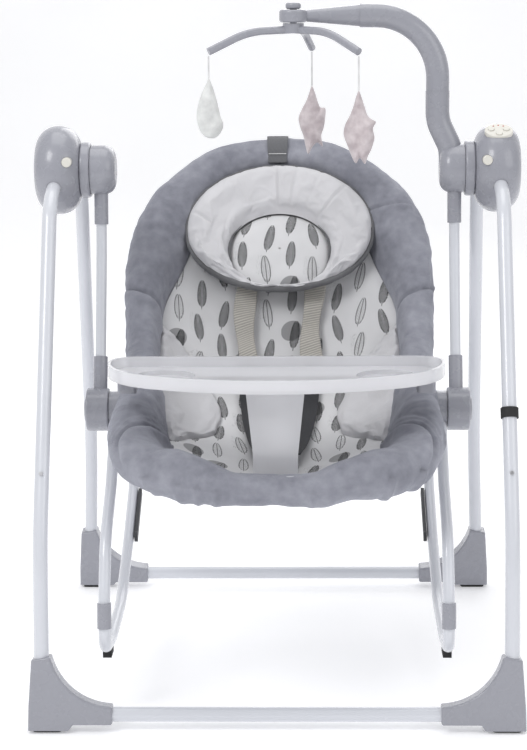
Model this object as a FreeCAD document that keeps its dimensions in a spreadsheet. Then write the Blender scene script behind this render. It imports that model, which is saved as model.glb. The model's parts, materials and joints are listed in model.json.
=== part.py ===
"""Electric baby swing: two U-shaped leg frames under a pair of pivot housings, two swing arms with a
reclining rocker seat and its tray between them, and a toy mobile on the right-hand arm head.

Millimetres, +Z up, the front at -Y, left and right as seen from the front, so +X is right.
The origin is on the floor under the swing axis. The rear leg frame turns about that axis to fold.
"""

import FreeCAD, Part
import math
import os

import Sketcher
from FreeCAD import Placement, Rotation, Vector

doc = FreeCAD.newDocument("BabySwing")
sheet = doc.addObject("Spreadsheet::Sheet", "Dimensions")

DIMENSIONS = {
    # swing axis and leg frames
    "axis_height": 722.0,
    "frame_tube_radius": 10.0,
    "frame_tube_wall": 1.2,
    "spigot_radius": 8.7,
    "spigot_wall": 1.3,
    "spigot_length": 40.0,
    "shoulder_reach": 105.0,
    "shoulder_height": 685.0,
    "shoulder_bend": 70.0,
    "knee_reach": 302.0,
    "knee_height": 250.0,
    "knee_bend": 300.0,
    "front_leg_offset": 315.0,
    "rear_leg_top_offset": 294.4,
    "rear_leg_offset": 320.0,
    "floor_bar_reach": 330.0,
    "floor_bar_height": 22.0,
    "corner_bend": 76.0,
    "front_seam_height": 320.0,
    "rear_seam_height": 385.0,
    "foot_thickness": 27.0,
    "foot_pad_height": 4.0,
    # pivot housings
    "housing_middle": 313.5,
    "housing_half": 32.0,
    "housing_radius": 63.0,
    "housing_face_radius": 36.0,
    "shell_wall": 2.6,
    "axle_radius": 7.0,
    "running_bore": 7.05,
    "knuckle_radius": 20.0,
    "front_knuckle_width": 19.0,
    "rear_knuckle_width": 18.0,
    "light_radius": 1.25,
    "coil_radius": 8.5,
    "coil_length": 7.5,
    "collar_inner_face": 267.5,
    "collar_length": 14.0,
    "collar_radius": 39.5,
    # swing arms
    "arm_offset": 253.5,
    "arm_bend_reach": 16.0,
    "arm_bend_height": 610.0,
    "arm_bend": 300.0,
    "arm_socket_depth": 36.0,
    "head_radius": 35.0,
    "head_inner_face": 232.0,
    "head_length": 35.0,
    "arm_tube_radius": 7.5,
    "arm_tube_wall": 1.2,
    "arm_sleeve_radius": 10.0,
    "hub_reach": 85.0,
    "hub_height": 388.0,
    "bracket_radius": 30.5,
    "bracket_inner_face": 240.0,
    "bracket_length": 32.0,
    "pin_radius": 6.0,
    "pin_bore": 6.05,
    "button_radius": 17.5,
    "button_length": 13.0,
    # mobile
    "mast_offset": 228.5,
    "mast_radius": 17.0,
    "mast_seam_height": 832.0,
    "mast_spigot_radius": 9.0,
    "mast_spigot_bore": 9.06,
    "mast_spigot_length": 30.0,
    "mobile_tip_radius": 7.5,
    "mobile_hub_offset": 24.0,
    "mobile_ring_radius": 20.0,
    "mobile_shaft_radius": 5.0,
    "mobile_shaft_bore": 5.06,
    "mobile_reach": 125.0,
    "cord_radius": 1.25,
    # seat and rocker
    "seat_tube_radius": 8.0,
    "seat_tube_wall": 1.2,
    "rim_radius": 23.0,
    "rocker_offset": 231.2,
    "rocker_tube_radius": 8.0,
    "sleeve_radius": 9.6,
    "kickstand_eye_radius": 8.0,
    "seat_hub_radius": 26.0,
    "pillow_half_width": 144.5,
    "pillow_half_length": 112.0,
    "pillow_half_thickness": 26.0,
    # tray
    "tray_floor_height": 459.0,
    "tray_lip": 18.0,
    "tray_wall": 4.0,
    "cup_radius": 41.0,
    "cup_depth": 6.0,
    "post_depth": 26.0,
}
for row, (alias, value) in enumerate(DIMENSIONS.items(), start=1):
    sheet.set(f"A{row}", alias)
    sheet.set(f"B{row}", str(value))
    sheet.setAlias(f"B{row}", alias)
doc.recompute()


def dim(alias):
    """A driving dimension, read back from the spreadsheet."""
    return float(sheet.get(alias))


SIDES = {"left": -1, "right": 1}
AXIS = Vector(0, 0, dim("axis_height"))
HUB = Vector(0, -dim("hub_reach"), dim("hub_height"))
X_AXIS = Vector(1, 0, 0)
Z_AXIS = Vector(0, 0, 1)
nodes = {}


# ---------------------------------------------------------------- general tools


def cell(text):
    """Turns the bare aliases in an expression into references to the spreadsheet."""
    return " ".join(f"Dimensions.{word}" if word in DIMENSIONS else word for word in text.split())


def bind(obj, **sizes):
    """Binds an object's sizes to expressions of spreadsheet cells."""
    for prop, expression in sizes.items():
        obj.setExpression(prop, cell(expression))
    return obj


def node(label, obj):
    """Names a finished sub-part; its label names its file."""
    obj.Label = label
    nodes[label] = obj
    return obj


def cylinder(name, radius, height, place):
    """A cylinder along its placement's Z, its sizes given as expressions."""
    made = doc.addObject("Part::Cylinder", name)
    bind(made, Radius=radius, Height=height)
    made.Placement = place
    return made


def rod(name, radius, start, end):
    """A solid round bar from one point to another."""
    made = doc.addObject("Part::Cylinder", name)
    bind(made, Radius=radius)
    made.Height = start.distanceToPoint(end)
    made.Placement = Placement(start, Rotation(Z_AXIS, end - start))
    return made


def block(name, size, centre, turn=Rotation()):
    """A box of plain sizes round its centre."""
    made = doc.addObject("Part::Box", name)
    made.Length, made.Width, made.Height = size
    made.Placement = Placement(centre - turn.multVec(Vector(*size) * 0.5), turn)
    return made


def ellipsoid(name, radii, centre, turn=Rotation()):
    """A full ellipsoid with its three half-sizes along its own X, Y and Z."""
    made = doc.addObject("Part::Ellipsoid", name)
    made.Radius2, made.Radius3, made.Radius1 = radii
    made.Angle1, made.Angle2, made.Angle3 = -90, 90, 360
    made.Placement = Placement(centre, turn)
    return made


def fuse(name, *shapes):
    made = doc.addObject("Part::MultiFuse", name)
    made.Shapes = list(shapes)
    return made


def cut(name, base, *tools):
    made = doc.addObject("Part::Cut", name)
    made.Base = base
    made.Tool = tools[0] if len(tools) == 1 else fuse(name + "_tools", *tools)
    return made


def group(name, *shapes):
    """Several separate solids that share one node."""
    made = doc.addObject("Part::Compound", name)
    made.Links = list(shapes)
    return made


def feature(name, shape):
    made = doc.addObject("Part::Feature", name)
    made.Shape = shape
    return made


def rounded(name, base, radius, picks):
    """A Part::Fillet on the edges that picks(edge) accepts."""
    doc.recompute()
    made = doc.addObject("Part::Fillet", name)
    made.Base = base
    made.Edges = [(i + 1, radius, radius) for i, e in enumerate(base.Shape.Edges) if picks(e)]
    return made


def whole_circle(edge):
    """Picks whole circles and ellipses, and not the seam of a round face."""
    return len(edge.Vertexes) == 1


def any_edge(edge):
    return True


def upright(edge):
    """Picks the straight edges that rise."""
    return abs(edge.Vertexes[0].Z - edge.Vertexes[-1].Z) > 1


def bend_path(points, radii):
    """A wire of straight runs joined by tangent arcs, one radius for each inner corner."""
    starts, ends, arcs = {}, {}, {}
    for i in range(1, len(points) - 1):
        here = points[i]
        before = (points[i - 1] - here).normalize()
        after = (points[i + 1] - here).normalize()
        half = before.getAngle(after) / 2
        radius = radii[i - 1] if isinstance(radii, (list, tuple)) else radii
        back = radius / math.tan(half)
        starts[i], ends[i] = here + before * back, here + after * back
        inward = (before + after).normalize()
        middle = here + inward * (radius / math.sin(half) - radius)
        arcs[i] = Part.Arc(starts[i], middle, ends[i]).toShape()
    edges = []
    for i in range(len(points) - 1):
        start, end = ends.get(i, points[i]), starts.get(i + 1, points[i + 1])
        if start.distanceToPoint(end) > 1e-6:
            edges.append(Part.LineSegment(start, end).toShape())
        if i + 1 in arcs:
            edges.append(arcs[i + 1])
    return Part.Wire(edges)


def swept(name, points, radii, section):
    """A solid round bar along a bent path; the section radius is an expression."""
    path = bend_path(points, radii)
    spine = feature(name + "_path", path)
    circle = doc.addObject("Part::Circle", name + "_section")
    bind(circle, Radius=section)
    circle.Placement = Placement(points[0], Rotation(Z_AXIS, points[1] - points[0]))
    made = doc.addObject("Part::Sweep", name)
    made.Sections = [circle]
    made.Spine = (spine, [f"Edge{i + 1}" for i in range(len(path.Edges))])
    made.Solid = True
    made.Frenet = False
    return made


def body(name):
    return doc.addObject("PartDesign::Body", name)


def sketch(part, role, name):
    """An empty sketch on one of its own body's origin planes."""
    made = part.newObject("Sketcher::SketchObject", name)
    made.AttachmentSupport = [([f for f in part.Origin.OriginFeatures if f.Role == role][0], "")]
    made.MapMode = "FlatFace"
    return made


def outline(part, role, name, pieces):
    """A closed sketch of lines (two points) and arcs (three points)."""
    made = sketch(part, role, name)
    for piece in pieces:
        ends = [Vector(x, y, 0) for x, y in piece]
        made.addGeometry(Part.LineSegment(*ends) if len(ends) == 2 else Part.Arc(*ends), False)
    for i, piece in enumerate(pieces):
        follower = (i + 1) % len(pieces)
        joint = Vector(*piece[-1], 0)
        ends = [1 if made.getPoint(n, 1).isEqual(joint, 1e-4) else 2 for n in (i, follower)]
        made.addConstraint(Sketcher.Constraint("Coincident", i, ends[0], follower, ends[1]))
    return made


def polygon(points):
    return [(points[i], points[(i + 1) % len(points)]) for i in range(len(points))]


def pad(part, profile, name, length, both_ways=False):
    """A pad whose length is an expression."""
    made = part.newObject("PartDesign::Pad", name)
    made.Profile = profile
    bind(made, Length=length)
    made.Midplane = both_ways
    return made


def turned(part, profile, name):
    """A full revolution about the sketch's horizontal axis."""
    made = part.newObject("PartDesign::Revolution", name)
    made.Profile = profile
    made.ReferenceAxis = (profile, ["H_Axis"])
    made.Angle = 360.0
    return made


def along_x(side, distance, y, z):
    """Where a cylinder along its own Z goes to point outwards on one side."""
    return Placement(Vector(side * distance, y, z), Rotation(Z_AXIS, Vector(side, 0, 0)))


# ---------------------------------------------------------------- leg frames

# How far from the axis a leg's tube starts inside its knuckle, and how far one part runs into the
# next so that they fuse.
KNUCKLE_WELD = 13.0
OVERLAP = 3.0
FOOT_EDGE_RADIUS = 3.0
PAD_SIZE = (38, 19)
PAD_CORNER_RADIUS = 5
SNAP_BUTTON_RISE = 17.0


def leg_points(front, side):
    """A leg's centreline corners, from its knuckle to the floor: the top, a bend, a knee, a corner."""
    sign = -1 if front else 1
    top_x = dim("front_leg_offset") if front else dim("rear_leg_top_offset")
    foot_x = dim("front_leg_offset") if front else dim("rear_leg_offset")
    shoulder = Vector(side * top_x, sign * dim("shoulder_reach"), dim("shoulder_height"))
    middle = AXIS + Vector(side * top_x, 0, 0)
    outwards = (shoulder - middle).normalize()
    drop = (shoulder.z - dim("knee_height")) / (shoulder.z - dim("floor_bar_height"))
    knee = Vector(side * (top_x + (foot_x - top_x) * drop), sign * dim("knee_reach"), dim("knee_height"))
    corner = Vector(side * foot_x, sign * dim("floor_bar_reach"), dim("floor_bar_height"))
    return middle + outwards * KNUCKLE_WELD, shoulder, knee, corner


def seam_point(front, side):
    """Where a leg's upper tube meets the floor frame."""
    _, shoulder, knee, _ = leg_points(front, side)
    height = dim("front_seam_height") if front else dim("rear_seam_height")
    share = (shoulder.z - height) / (shoulder.z - knee.z)
    return shoulder + (knee - shoulder) * share


def floor_frame(label, front):
    """A U of bent tube on the floor, its two ends necked down to plug into the upper legs."""
    left, right = (leg_points(front, side) for side in (-1, 1))
    seams = [seam_point(front, side) for side in (-1, 1)]
    points = [seams[0], left[2], left[3], right[3], right[2], seams[1]]
    bends = [dim("knee_bend"), dim("corner_bend"), dim("corner_bend"), dim("knee_bend")]
    outside = swept(label + "_outside", points, bends, "frame_tube_radius")
    necks, bores = [], []
    inner_ends = []
    for seam, leg in zip(seams, (left, right)):
        up = (leg[1] - leg[2]).normalize()
        neck_end = seam + up * dim("spigot_length")
        necks.append(rod(label + "_neck", "spigot_radius", seam - up * OVERLAP, neck_end))
        bores.append(rod(label + "_bore", "spigot_radius - spigot_wall", seam - up * 8, neck_end))
        inner_ends.append(seam - up * 2 * OVERLAP)
    inner_points = [inner_ends[0], *points[1:-1], inner_ends[1]]
    inside = swept(label + "_inside", inner_points, bends, "frame_tube_radius - frame_tube_wall")
    solid = fuse(label + "_solid", outside, *necks)
    return node(label, cut(label, solid, inside, *bores)), outside


def upper_leg(label, front, side):
    """An upper leg tube welded to a knuckle that turns or sits on the swing axle."""
    top, shoulder, _, _ = leg_points(front, side)
    points = [top, shoulder, seam_point(front, side)]
    bend = dim("shoulder_bend")
    outside = swept(label + "_outside", points, bend, "frame_tube_radius")
    inside = swept(label + "_inside", points, bend, "frame_tube_radius - frame_tube_wall")
    width = "front_knuckle_width" if front else "rear_knuckle_width"
    offset = dim("front_leg_offset" if front else "rear_leg_top_offset")
    start = Vector(offset - dim(width) / 2, 0, AXIS.z)
    knuckle = cylinder(label + "_knuckle", "knuckle_radius", width, along_x(side, start.x, 0, start.z))
    bore_place = along_x(side, start.x - 2, 0, start.z)
    bore = cylinder(label + "_bore", "running_bore", f"{width} + 4", bore_place)
    leg = cut(label + "_tube", outside, inside)
    return node(label, cut(label, fuse(label + "_welded", leg, knuckle), bore))


def foot(name, front, side, frame_tube):
    """A moulded corner foot: a finger up the leg, a finger along the floor bar and a toe block."""
    part = body(name + "_moulding")
    offset = dim("front_leg_offset" if front else "rear_leg_offset")
    outer = offset + 18
    up_leg, along_bar = 80, 95
    leg_in, bar_up = offset - 13, 12.5
    pieces = [
        ((outer, -24), (outer - 1, 12)),
        ((outer - 1, 12), (outer - 5.5, up_leg - 4)),
        ((outer - 5.5, up_leg - 4), (leg_in, up_leg)),
        ((leg_in, up_leg), (offset - 37, 37), (offset - along_bar, bar_up)),
        ((offset - along_bar, bar_up), (offset - along_bar, -bar_up)),
        ((offset - along_bar, -bar_up), (offset - 42, -bar_up)),
        ((offset - 42, -bar_up), (offset - 34, -24)),
        ((offset - 34, -24), (outer, -24)),
    ]
    profile = outline(part, "XZ_Plane", name + "_profile", pieces)
    solid = pad(part, profile, name + "_pad", "foot_thickness", True)
    doc.recompute()
    half = dim("foot_thickness") / 2
    edges = part.newObject("PartDesign::Fillet", name + "_edges")
    edges.Base = (solid, [
        f"Edge{i + 1}" for i, e in enumerate(solid.Shape.Edges)
        if all(abs(abs(v.Y) - half) < 1e-4 for v in e.Vertexes)
    ])
    edges.Radius = FOOT_EDGE_RADIUS
    part.Tip = edges
    sign = -1 if front else 1
    _, _, knee, corner = leg_points(front, side)
    lean = math.degrees(math.atan2(abs(corner.y - knee.y), corner.z - knee.z)) - 180
    about_bar = Rotation(X_AXIS, -sign * lean)
    facing = Rotation() if side > 0 else Rotation(Z_AXIS, 180)
    part.Placement = Placement(Vector(0, corner.y, corner.z), about_bar.multiply(facing))
    ground = block(name + "_ground", (900, 200, 40), Vector(0, corner.y, dim("foot_pad_height") - 20))
    return cut(name, part, frame_tube, ground)


def foot_pads(label, front):
    """Two rubber pads under a frame's toe blocks."""
    pads = []
    for side in (-1, 1):
        corner = leg_points(front, side)[3]
        height = dim("foot_pad_height")
        centre = Vector(corner.x - side * 7, corner.y, height / 2)
        slab = block(f"{label}_{side}_slab", (*PAD_SIZE, height), centre)
        pads.append(rounded(f"{label}_{side}_pad", slab, PAD_CORNER_RADIUS, upright))
    return node(label, group(label, *pads))


def snap_buttons(label, front):
    """Sprung buttons that lock each leg tube on its spigot: a short stud through the tube's wall."""
    studs = []
    for side in (-1, 1):
        _, shoulder, knee, _ = leg_points(front, side)
        up = (shoulder - knee).normalize()
        place = seam_point(front, side) + up * SNAP_BUTTON_RISE
        outwards = Vector(0, -up.z, up.y) if front else Vector(0, up.z, -up.y)
        start = place + outwards * (dim("frame_tube_radius") + 0.1)
        stem = rod(f"{label}_{side}", "frame_tube_wall * 2.5", start, start + outwards * 2)
        studs.append(rounded(f"{label}_{side}_round", stem, 0.8, any_edge))
    return node(label, group(label, *studs))


front_frame, front_tube = floor_frame("front_floor_frame", True)
rear_frame, rear_tube = floor_frame("rear_floor_frame", False)
for side_name, side in SIDES.items():
    upper_leg(f"front_upper_leg_{side_name}", True, side)
    upper_leg(f"rear_upper_leg_{side_name}", False, side)
for label, front, tube in (("front_feet", True, front_tube), ("rear_feet", False, rear_tube)):
    feet = [foot(f"{label}_{side_name}", front, side, tube) for side_name, side in SIDES.items()]
    node(label, group(label, *feet))
foot_pads("front_foot_pads", True)
foot_pads("rear_foot_pads", False)
snap_buttons("front_snap_buttons", True)
snap_buttons("rear_snap_buttons", False)


# ---------------------------------------------------------------- pivot housings


def shell_profile(part, name, outer):
    """Half of a housing: a dished shell with a flat face, hollow, drawn as distance out and radius."""
    sign = 1 if outer else -1
    middle, half = dim("housing_middle"), dim("housing_half")
    rim, face, wall = dim("housing_radius"), dim("housing_face_radius"), dim("shell_wall")
    hole = 3.0 if outer else 8.0
    end, inner_end = middle + sign * half, middle + sign * (half - wall)
    bulge = (middle + sign * half * 0.72, rim - (rim - face) * 0.34)
    inner_bulge = (middle + sign * (half - wall) * 0.72, rim - wall - (rim - face) * 0.34)
    pieces = [
        ((middle, rim), bulge, (end, face)),
        ((end, face), (end, hole)),
        ((end, hole), (inner_end, hole)),
        ((inner_end, hole), (inner_end, face - 1)),
        ((inner_end, face - 1), inner_bulge, (middle, rim - wall)),
        ((middle, rim - wall), (middle, rim)),
    ]
    return outline(part, "XY_Plane", name + "_profile", pieces)


# The rear legs' fold, the room either side of it, and where the fold latches and the drive coil sit.
FOLD_ANGLE = 40.0
SLOT_MARGIN = 14.0
LATCH_OFFSET = 296.0
LATCH_REACH = 52.0
LATCH_RISE = 16.0
COIL_OFFSET = 330.6
COIL_DROP = 31.0

# The control panel is an oval disc that stands out of the housing, tilted towards the front.
PANEL_TILT = 28.0
PANEL_DISTANCE = 58.5
PANEL_HALF_WIDTH, PANEL_HALF_LENGTH = 20.0, 17.0
PANEL_HOLE_BOTTOM = -3.2
PANEL_NORMAL = Vector(0, -math.sin(math.radians(PANEL_TILT)), math.cos(math.radians(PANEL_TILT)))
PANEL_TURN = Rotation(X_AXIS, PANEL_TILT)
PANEL_MIDDLE = AXIS + X_AXIS * dim("housing_middle") + PANEL_NORMAL * PANEL_DISTANCE
PANEL_DEPTH = 6.5
BUTTON_PLACES = {"power_button": (0, -9.5), "speed_button": (-10.5, 1.5), "music_button": (10.5, 1.5)}
LIGHT_PLACES = [(-7, 10.0), (0, 12.0), (7, 10.0)]


def on_panel(right, up, out):
    """A point on the control panel, out from its base along its normal."""
    return PANEL_MIDDLE + PANEL_TURN.multVec(Vector(right, up, out))


def panel_disc(name, half_width, half_length, depth, out):
    """An elliptical disc on the panel's plane."""
    ellipse = Part.Ellipse(Vector(0, 0, 0), half_width, half_length)
    face = Part.Face(Part.Wire([ellipse.toShape()]))
    made = feature(name, face.extrude(Vector(0, 0, depth)))
    made.Placement = Placement(on_panel(0, 0, out), PANEL_TURN)
    return made


def housing_shell(label, side, outer):
    """One half of a housing with its leg openings cut through the rim."""
    part = body(label + "_moulding")
    turned(part, shell_profile(part, label, outer), label + "_dish")
    part.Placement = Placement(AXIS, Rotation() if side > 0 else Rotation(Z_AXIS, 180))
    shell = part
    if outer:
        face = dim("housing_middle") + dim("housing_half") - dim("shell_wall")
        plug = cylinder(label + "_centre", "axle_radius", "shell_wall", along_x(side, face, 0, AXIS.z))
        shell = fuse(label + "_closed", part, plug)
    leg = leg_points(True, side)
    along = (leg[1] - leg[0]).normalize()
    notch = rod(label + "_leg_notch", "frame_tube_radius + 0.4", leg[0], leg[0] + along * 80)
    tools = [notch]
    if not outer:
        tools.append(fold_slot(label + "_fold_slot", side))
        tools.append(latch_hole(label + "_latch_hole", side))
    if side > 0:
        hole = (PANEL_HALF_WIDTH + 0.1, PANEL_HALF_LENGTH + 0.1, 30, PANEL_HOLE_BOTTOM)
        tools.append(panel_disc(label + "_panel_hole", *hole))
    return node(label, cut(label, shell, *tools))


def fold_slot(name, side):
    """The sector of an inner shell's rim that the rear leg sweeps through as it folds."""
    sector = cylinder(name, "housing_radius + 20", "housing_half - shell_wall", Placement())
    sector.Angle = FOLD_ANGLE + 2 * SLOT_MARGIN
    inner = dim("housing_middle") - dim("housing_half") + dim("shell_wall") - 0.2
    leg = leg_points(False, side)
    rest = math.degrees(math.atan2(leg[1].z - AXIS.z, leg[1].y))
    first = rest - FOLD_ANGLE - SLOT_MARGIN
    frame = Rotation(Vector(0, 1, 0), Vector(0, 0, 1), Vector(1, 0, 0), "XYZ")
    start = inner if side > 0 else -dim("housing_middle") - 0.2
    sector.Placement = Placement(Vector(start, 0, AXIS.z), frame.multiply(Rotation(Z_AXIS, first)))
    return sector


def latch_place(side):
    """The middle of a fold latch on the front of an inner shell, level with the axis and above it."""
    return Vector(side * LATCH_OFFSET, -LATCH_REACH, AXIS.z + LATCH_RISE)


def latch_hole(name, side):
    start = latch_place(side) + Vector(0, -30, 0)
    return rod(name, "axle_radius + 0.3", start, start + Vector(0, 45, 0))


for side_name, side in SIDES.items():
    housing_shell(f"housing_outer_{side_name}", side, True)
    housing_shell(f"housing_inner_{side_name}", side, False)
    collar_disc = cylinder(
        f"collar_{side_name}_disc", "collar_radius", "collar_length",
        along_x(side, dim("collar_inner_face"), 0, AXIS.z))
    collar_soft = rounded(f"collar_{side_name}_soft", collar_disc, 3, whole_circle)
    collar_bore = cylinder(
        f"collar_{side_name}_bore", "running_bore", "collar_length + 4",
        along_x(side, dim("collar_inner_face") - 2, 0, AXIS.z))
    node(f"collar_{side_name}", cut(f"collar_{side_name}", collar_soft, collar_bore))
    latch_start = latch_place(side) + Vector(0, -9, 0)
    latch_end = latch_place(side) + Vector(0, 6, 0)
    latch_rod = rod(f"fold_latch_{side_name}_rod", "axle_radius", latch_start, latch_end)
    node(f"fold_latch_{side_name}", rounded(f"fold_latch_{side_name}", latch_rod, 1.5, whole_circle))

panel_body = panel_disc("control_panel_disc", PANEL_HALF_WIDTH, PANEL_HALF_LENGTH, PANEL_DEPTH, -1.5)
panel_soft = rounded("control_panel_soft", panel_body, 1.2, whole_circle)
wells, lights = [], []
for label, (right, up) in BUTTON_PLACES.items():
    wells.append(rod(label + "_well", "pin_radius - 1.2", on_panel(right, up, -3), on_panel(right, up, 20)))
    stem = rod(label + "_stem", "pin_radius - 1.4", on_panel(right, up, -1.3), on_panel(right, up, 6.6))
    node(label, rounded(label, stem, 0.6, whole_circle))
for number, (right, up) in enumerate(LIGHT_PLACES):
    bottom, lens_bottom, lens_top = (on_panel(right, up, out) for out in (2, 2.05, 5.3))
    wells.append(rod(f"light_well_{number}", "light_radius", bottom, on_panel(right, up, 20)))
    lights.append(rod(f"light_{number}", "light_radius - 0.05", lens_bottom, lens_top))
node("control_panel", cut("control_panel", panel_soft, *wells))
node("indicator_lights", group("indicator_lights", *lights))

board_centre = on_panel(0, 0, -9)
node("control_board", block("control_board", (24, 26, 1.6), board_centre, PANEL_TURN))
coil_place = along_x(1, COIL_OFFSET, 0, AXIS.z - COIL_DROP)
coil_outside = cylinder("drive_coil_outside", "coil_radius", "coil_length", coil_place)
coil_core = cylinder("drive_coil_core", "coil_radius / 2", "coil_length", coil_place)
node("drive_coil", cut("drive_coil", coil_outside, coil_core))


def storage_strap():
    """A rubber strap looped round the right front leg, its T-shaped end hanging back from it."""
    _, shoulder, knee, _ = leg_points(True, 1)
    up = (shoulder - knee).normalize()
    middle = knee + up * ((412 - knee.z) / up.z)
    band = rod("strap_band", "frame_tube_radius + 2.2", middle - up * 7, middle + up * 7)
    bore = rod("strap_bore", "frame_tube_radius", middle - up * 9, middle + up * 9)
    tongue = block("strap_tongue", (2.4, 34, 11), middle + Vector(0, 28, -4), Rotation(X_AXIS, -12))
    bar = block("strap_bar", (6, 6, 24), middle + Vector(0, 45, -8), Rotation(X_AXIS, -12))
    return node("storage_strap", cut("storage_strap", fuse("strap_solid", band, tongue, bar), bore))


storage_strap()


# ---------------------------------------------------------------- swing arms


def arm_line(side):
    """A swing arm's centreline from the axis down to the recline hub."""
    x = side * dim("arm_offset")
    bend = Vector(x, -dim("arm_bend_reach"), dim("arm_bend_height"))
    return [Vector(x, 0, AXIS.z), bend, Vector(x, HUB.y, HUB.z)]


def arm_head(label, side):
    """The round head clamped on the shaft, with a neck for the arm tube."""
    part = body(label + "_moulding")
    inner, length, radius = dim("head_inner_face"), dim("head_length"), dim("head_radius")
    pieces = [
        ((inner, 3), (inner, radius * 0.5)),
        ((inner, radius * 0.5), (inner + length * 0.14, radius * 0.86), (inner + length * 0.45, radius)),
        ((inner + length * 0.45, radius), (inner + length, radius)),
        ((inner + length, radius), (inner + length, 3)),
        ((inner + length, 3), (inner, 3)),
    ]
    turned(part, outline(part, "XY_Plane", label + "_profile", pieces), label + "_round")
    part.Placement = Placement(AXIS, Rotation() if side > 0 else Rotation(Z_AXIS, 180))
    top, bend, _ = arm_line(side)
    down = (bend - top).normalize()
    neck = rod(label + "_neck", "arm_sleeve_radius", top + down * 20, top + down * 78)
    core = cylinder(label + "_core", "axle_radius", "head_length", along_x(side, inner, 0, AXIS.z))
    solids = [part, core, neck]
    if side > 0:
        x = dim("mast_offset")
        points = [Vector(249, 0, AXIS.z), Vector(247, 0, 752), Vector(x, 0, 790)]
        points.append(Vector(x, 0, dim("mast_seam_height")))
        elbow = swept(label + "_elbow", points, [40, 60], "mast_radius")
        solids.append(elbow)
    tools = [
        rod(label + "_socket", "arm_tube_radius", top + down * dim("arm_socket_depth"), top + down * 90),
        cylinder(label + "_shaft_hole", "axle_radius", "head_length", along_x(side, inner + 8, 0, AXIS.z)),
    ]
    if side > 0:
        seam = Vector(dim("mast_offset"), 0, dim("mast_seam_height"))
        bottom = seam - Z_AXIS * (dim("mast_spigot_length") + 0.5)
        tools.append(rod(label + "_mast_bore", "mast_spigot_bore", bottom, seam + Z_AXIS))
    return node(label, cut(label, fuse(label + "_solid", *solids), *tools))


def swing_arm(label, side):
    """One arm tube, from the socket in its head to the socket in its bracket."""
    top, bend, low = arm_line(side)
    down = (bend - top).normalize()
    last = (low - bend).normalize()
    depth, radius = dim("arm_socket_depth"), dim("arm_bend")
    points = [top + down * depth, bend, low - last * depth]
    outside = swept(label + "_outside", points, radius, "arm_tube_radius")
    inside = swept(label + "_inside", points, radius, "arm_tube_radius - arm_tube_wall")
    return node(label, cut(label, outside, inside))


def arm_bracket(label, side):
    """The round recline bracket at an arm's foot: bored for the seat's pin and pocketed for its button."""
    inner = dim("bracket_inner_face")
    disc = cylinder(label + "_disc", "bracket_radius", "bracket_length", along_x(side, inner, HUB.y, HUB.z))
    soft = rounded(label + "_soft", disc, 2.5, whole_circle)
    _, bend, low = arm_line(side)
    up = (bend - low).normalize()
    sleeve = rod(label + "_sleeve", "arm_sleeve_radius", low + up * 18, low + up * 76)
    tools = [
        rod(label + "_socket", "arm_tube_radius", low + up * dim("arm_socket_depth"), low + up * 90),
        cylinder(label + "_bore", "pin_bore", "17", along_x(side, inner - 1, HUB.y, HUB.z)),
        cylinder(label + "_pocket", "button_radius + 0.3", "14", along_x(side, inner + 19.5, HUB.y, HUB.z)),
    ]
    return node(label, cut(label, fuse(label + "_solid", soft, sleeve), *tools))


for side_name, side in SIDES.items():
    arm_head(f"arm_head_{side_name}", side)
    swing_arm(f"swing_arm_{side_name}", side)
    arm_bracket(f"arm_bracket_{side_name}", side)
    cap = cylinder(
        f"recline_button_{side_name}_cap", "button_radius", "button_length - 2",
        along_x(side, 264, HUB.y, HUB.z))
    node(f"recline_button_{side_name}", rounded(f"recline_button_{side_name}", cap, 2.5, whole_circle))

shafts = [
    cylinder("shaft_left", "axle_radius", "91", along_x(-1, 240, 0, AXIS.z)),
    cylinder("shaft_right", "axle_radius", "91", along_x(1, 240, 0, AXIS.z)),
]
node("pivot_shafts", group("pivot_shafts", *shafts))
lever_arm = block("drive_lever_arm", (3, 9, 48), Vector(328.5, 0, AXIS.z - 20))
lever_eye = cylinder("drive_lever_eye", "axle_radius + 5", "3", along_x(1, 327, 0, AXIS.z))
lever_hole = cylinder("drive_lever_hole", "axle_radius", "9", along_x(1, 324, 0, AXIS.z))
lever_solid = fuse("drive_lever_solid", lever_arm, lever_eye)
node("drive_lever", cut("drive_lever", lever_solid, lever_hole))


# ---------------------------------------------------------------- seat

BACK_ANGLE = math.radians(37)
BACK = Vector(0, math.sin(BACK_ANGLE), math.cos(BACK_ANGLE))
BACK_FACE = Vector(0, -math.cos(BACK_ANGLE), math.sin(BACK_ANGLE))
BACK_TURN = Rotation(X_AXIS, -math.degrees(BACK_ANGLE))

# The rim of the seat from its front middle to its top middle: distance out, y, z.
RIM = [
    (0, -340, 344),
    (120, -335, 347),
    (204, -262, 368),
    (201, -90, 405),
    (205, 75, 468),
    (204, 160, 585),
    (158, 238, 668),
    (70, 284, 715),
    (0, 286, 718),
]
RIM_BENDS = [70, 90, 200, 130, 180, 110, 110]


PILLOW_STAND = 12
COVER_THICKNESS = 14
COVER_LIP = 30

# The cover's fields: the folds across it by y, and the seams along it by x.
COVER_FOLDS = (-400, -215, -100, 20, 110, 190, 330)
COVER_SEAMS = (-260, -120, 120, 260)


def rim_points(side):
    return [Vector(side * x, y, z) for x, y, z in RIM]


# Cross-sections of the bucket: y, z and half-width at the rim, depth, and its direction below the rim.
BUCKET = [
    (-338, 344, 110, 14, (0, 0, -1)),
    (-300, 356, 180, 48, (0, 0.1, -1)),
    (-230, 372, 203, 84, (0, 0.1, -1)),
    (-110, 400, 202, 102, (0, 0.2, -1)),
    (0, 436, 202, 92, (0, 0.5, -0.87)),
    (90, 490, 205, 60, (0, 0.75, -0.66)),
    (160, 585, 203, 36, (0, 0.8, -0.6)),
    (215, 642, 180, 31, (0, 0.8, -0.6)),
    (262, 692, 118, 22, (0, 0.8, -0.6)),
    (284, 716, 62, 12, (0, 0.8, -0.6)),
]


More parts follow.
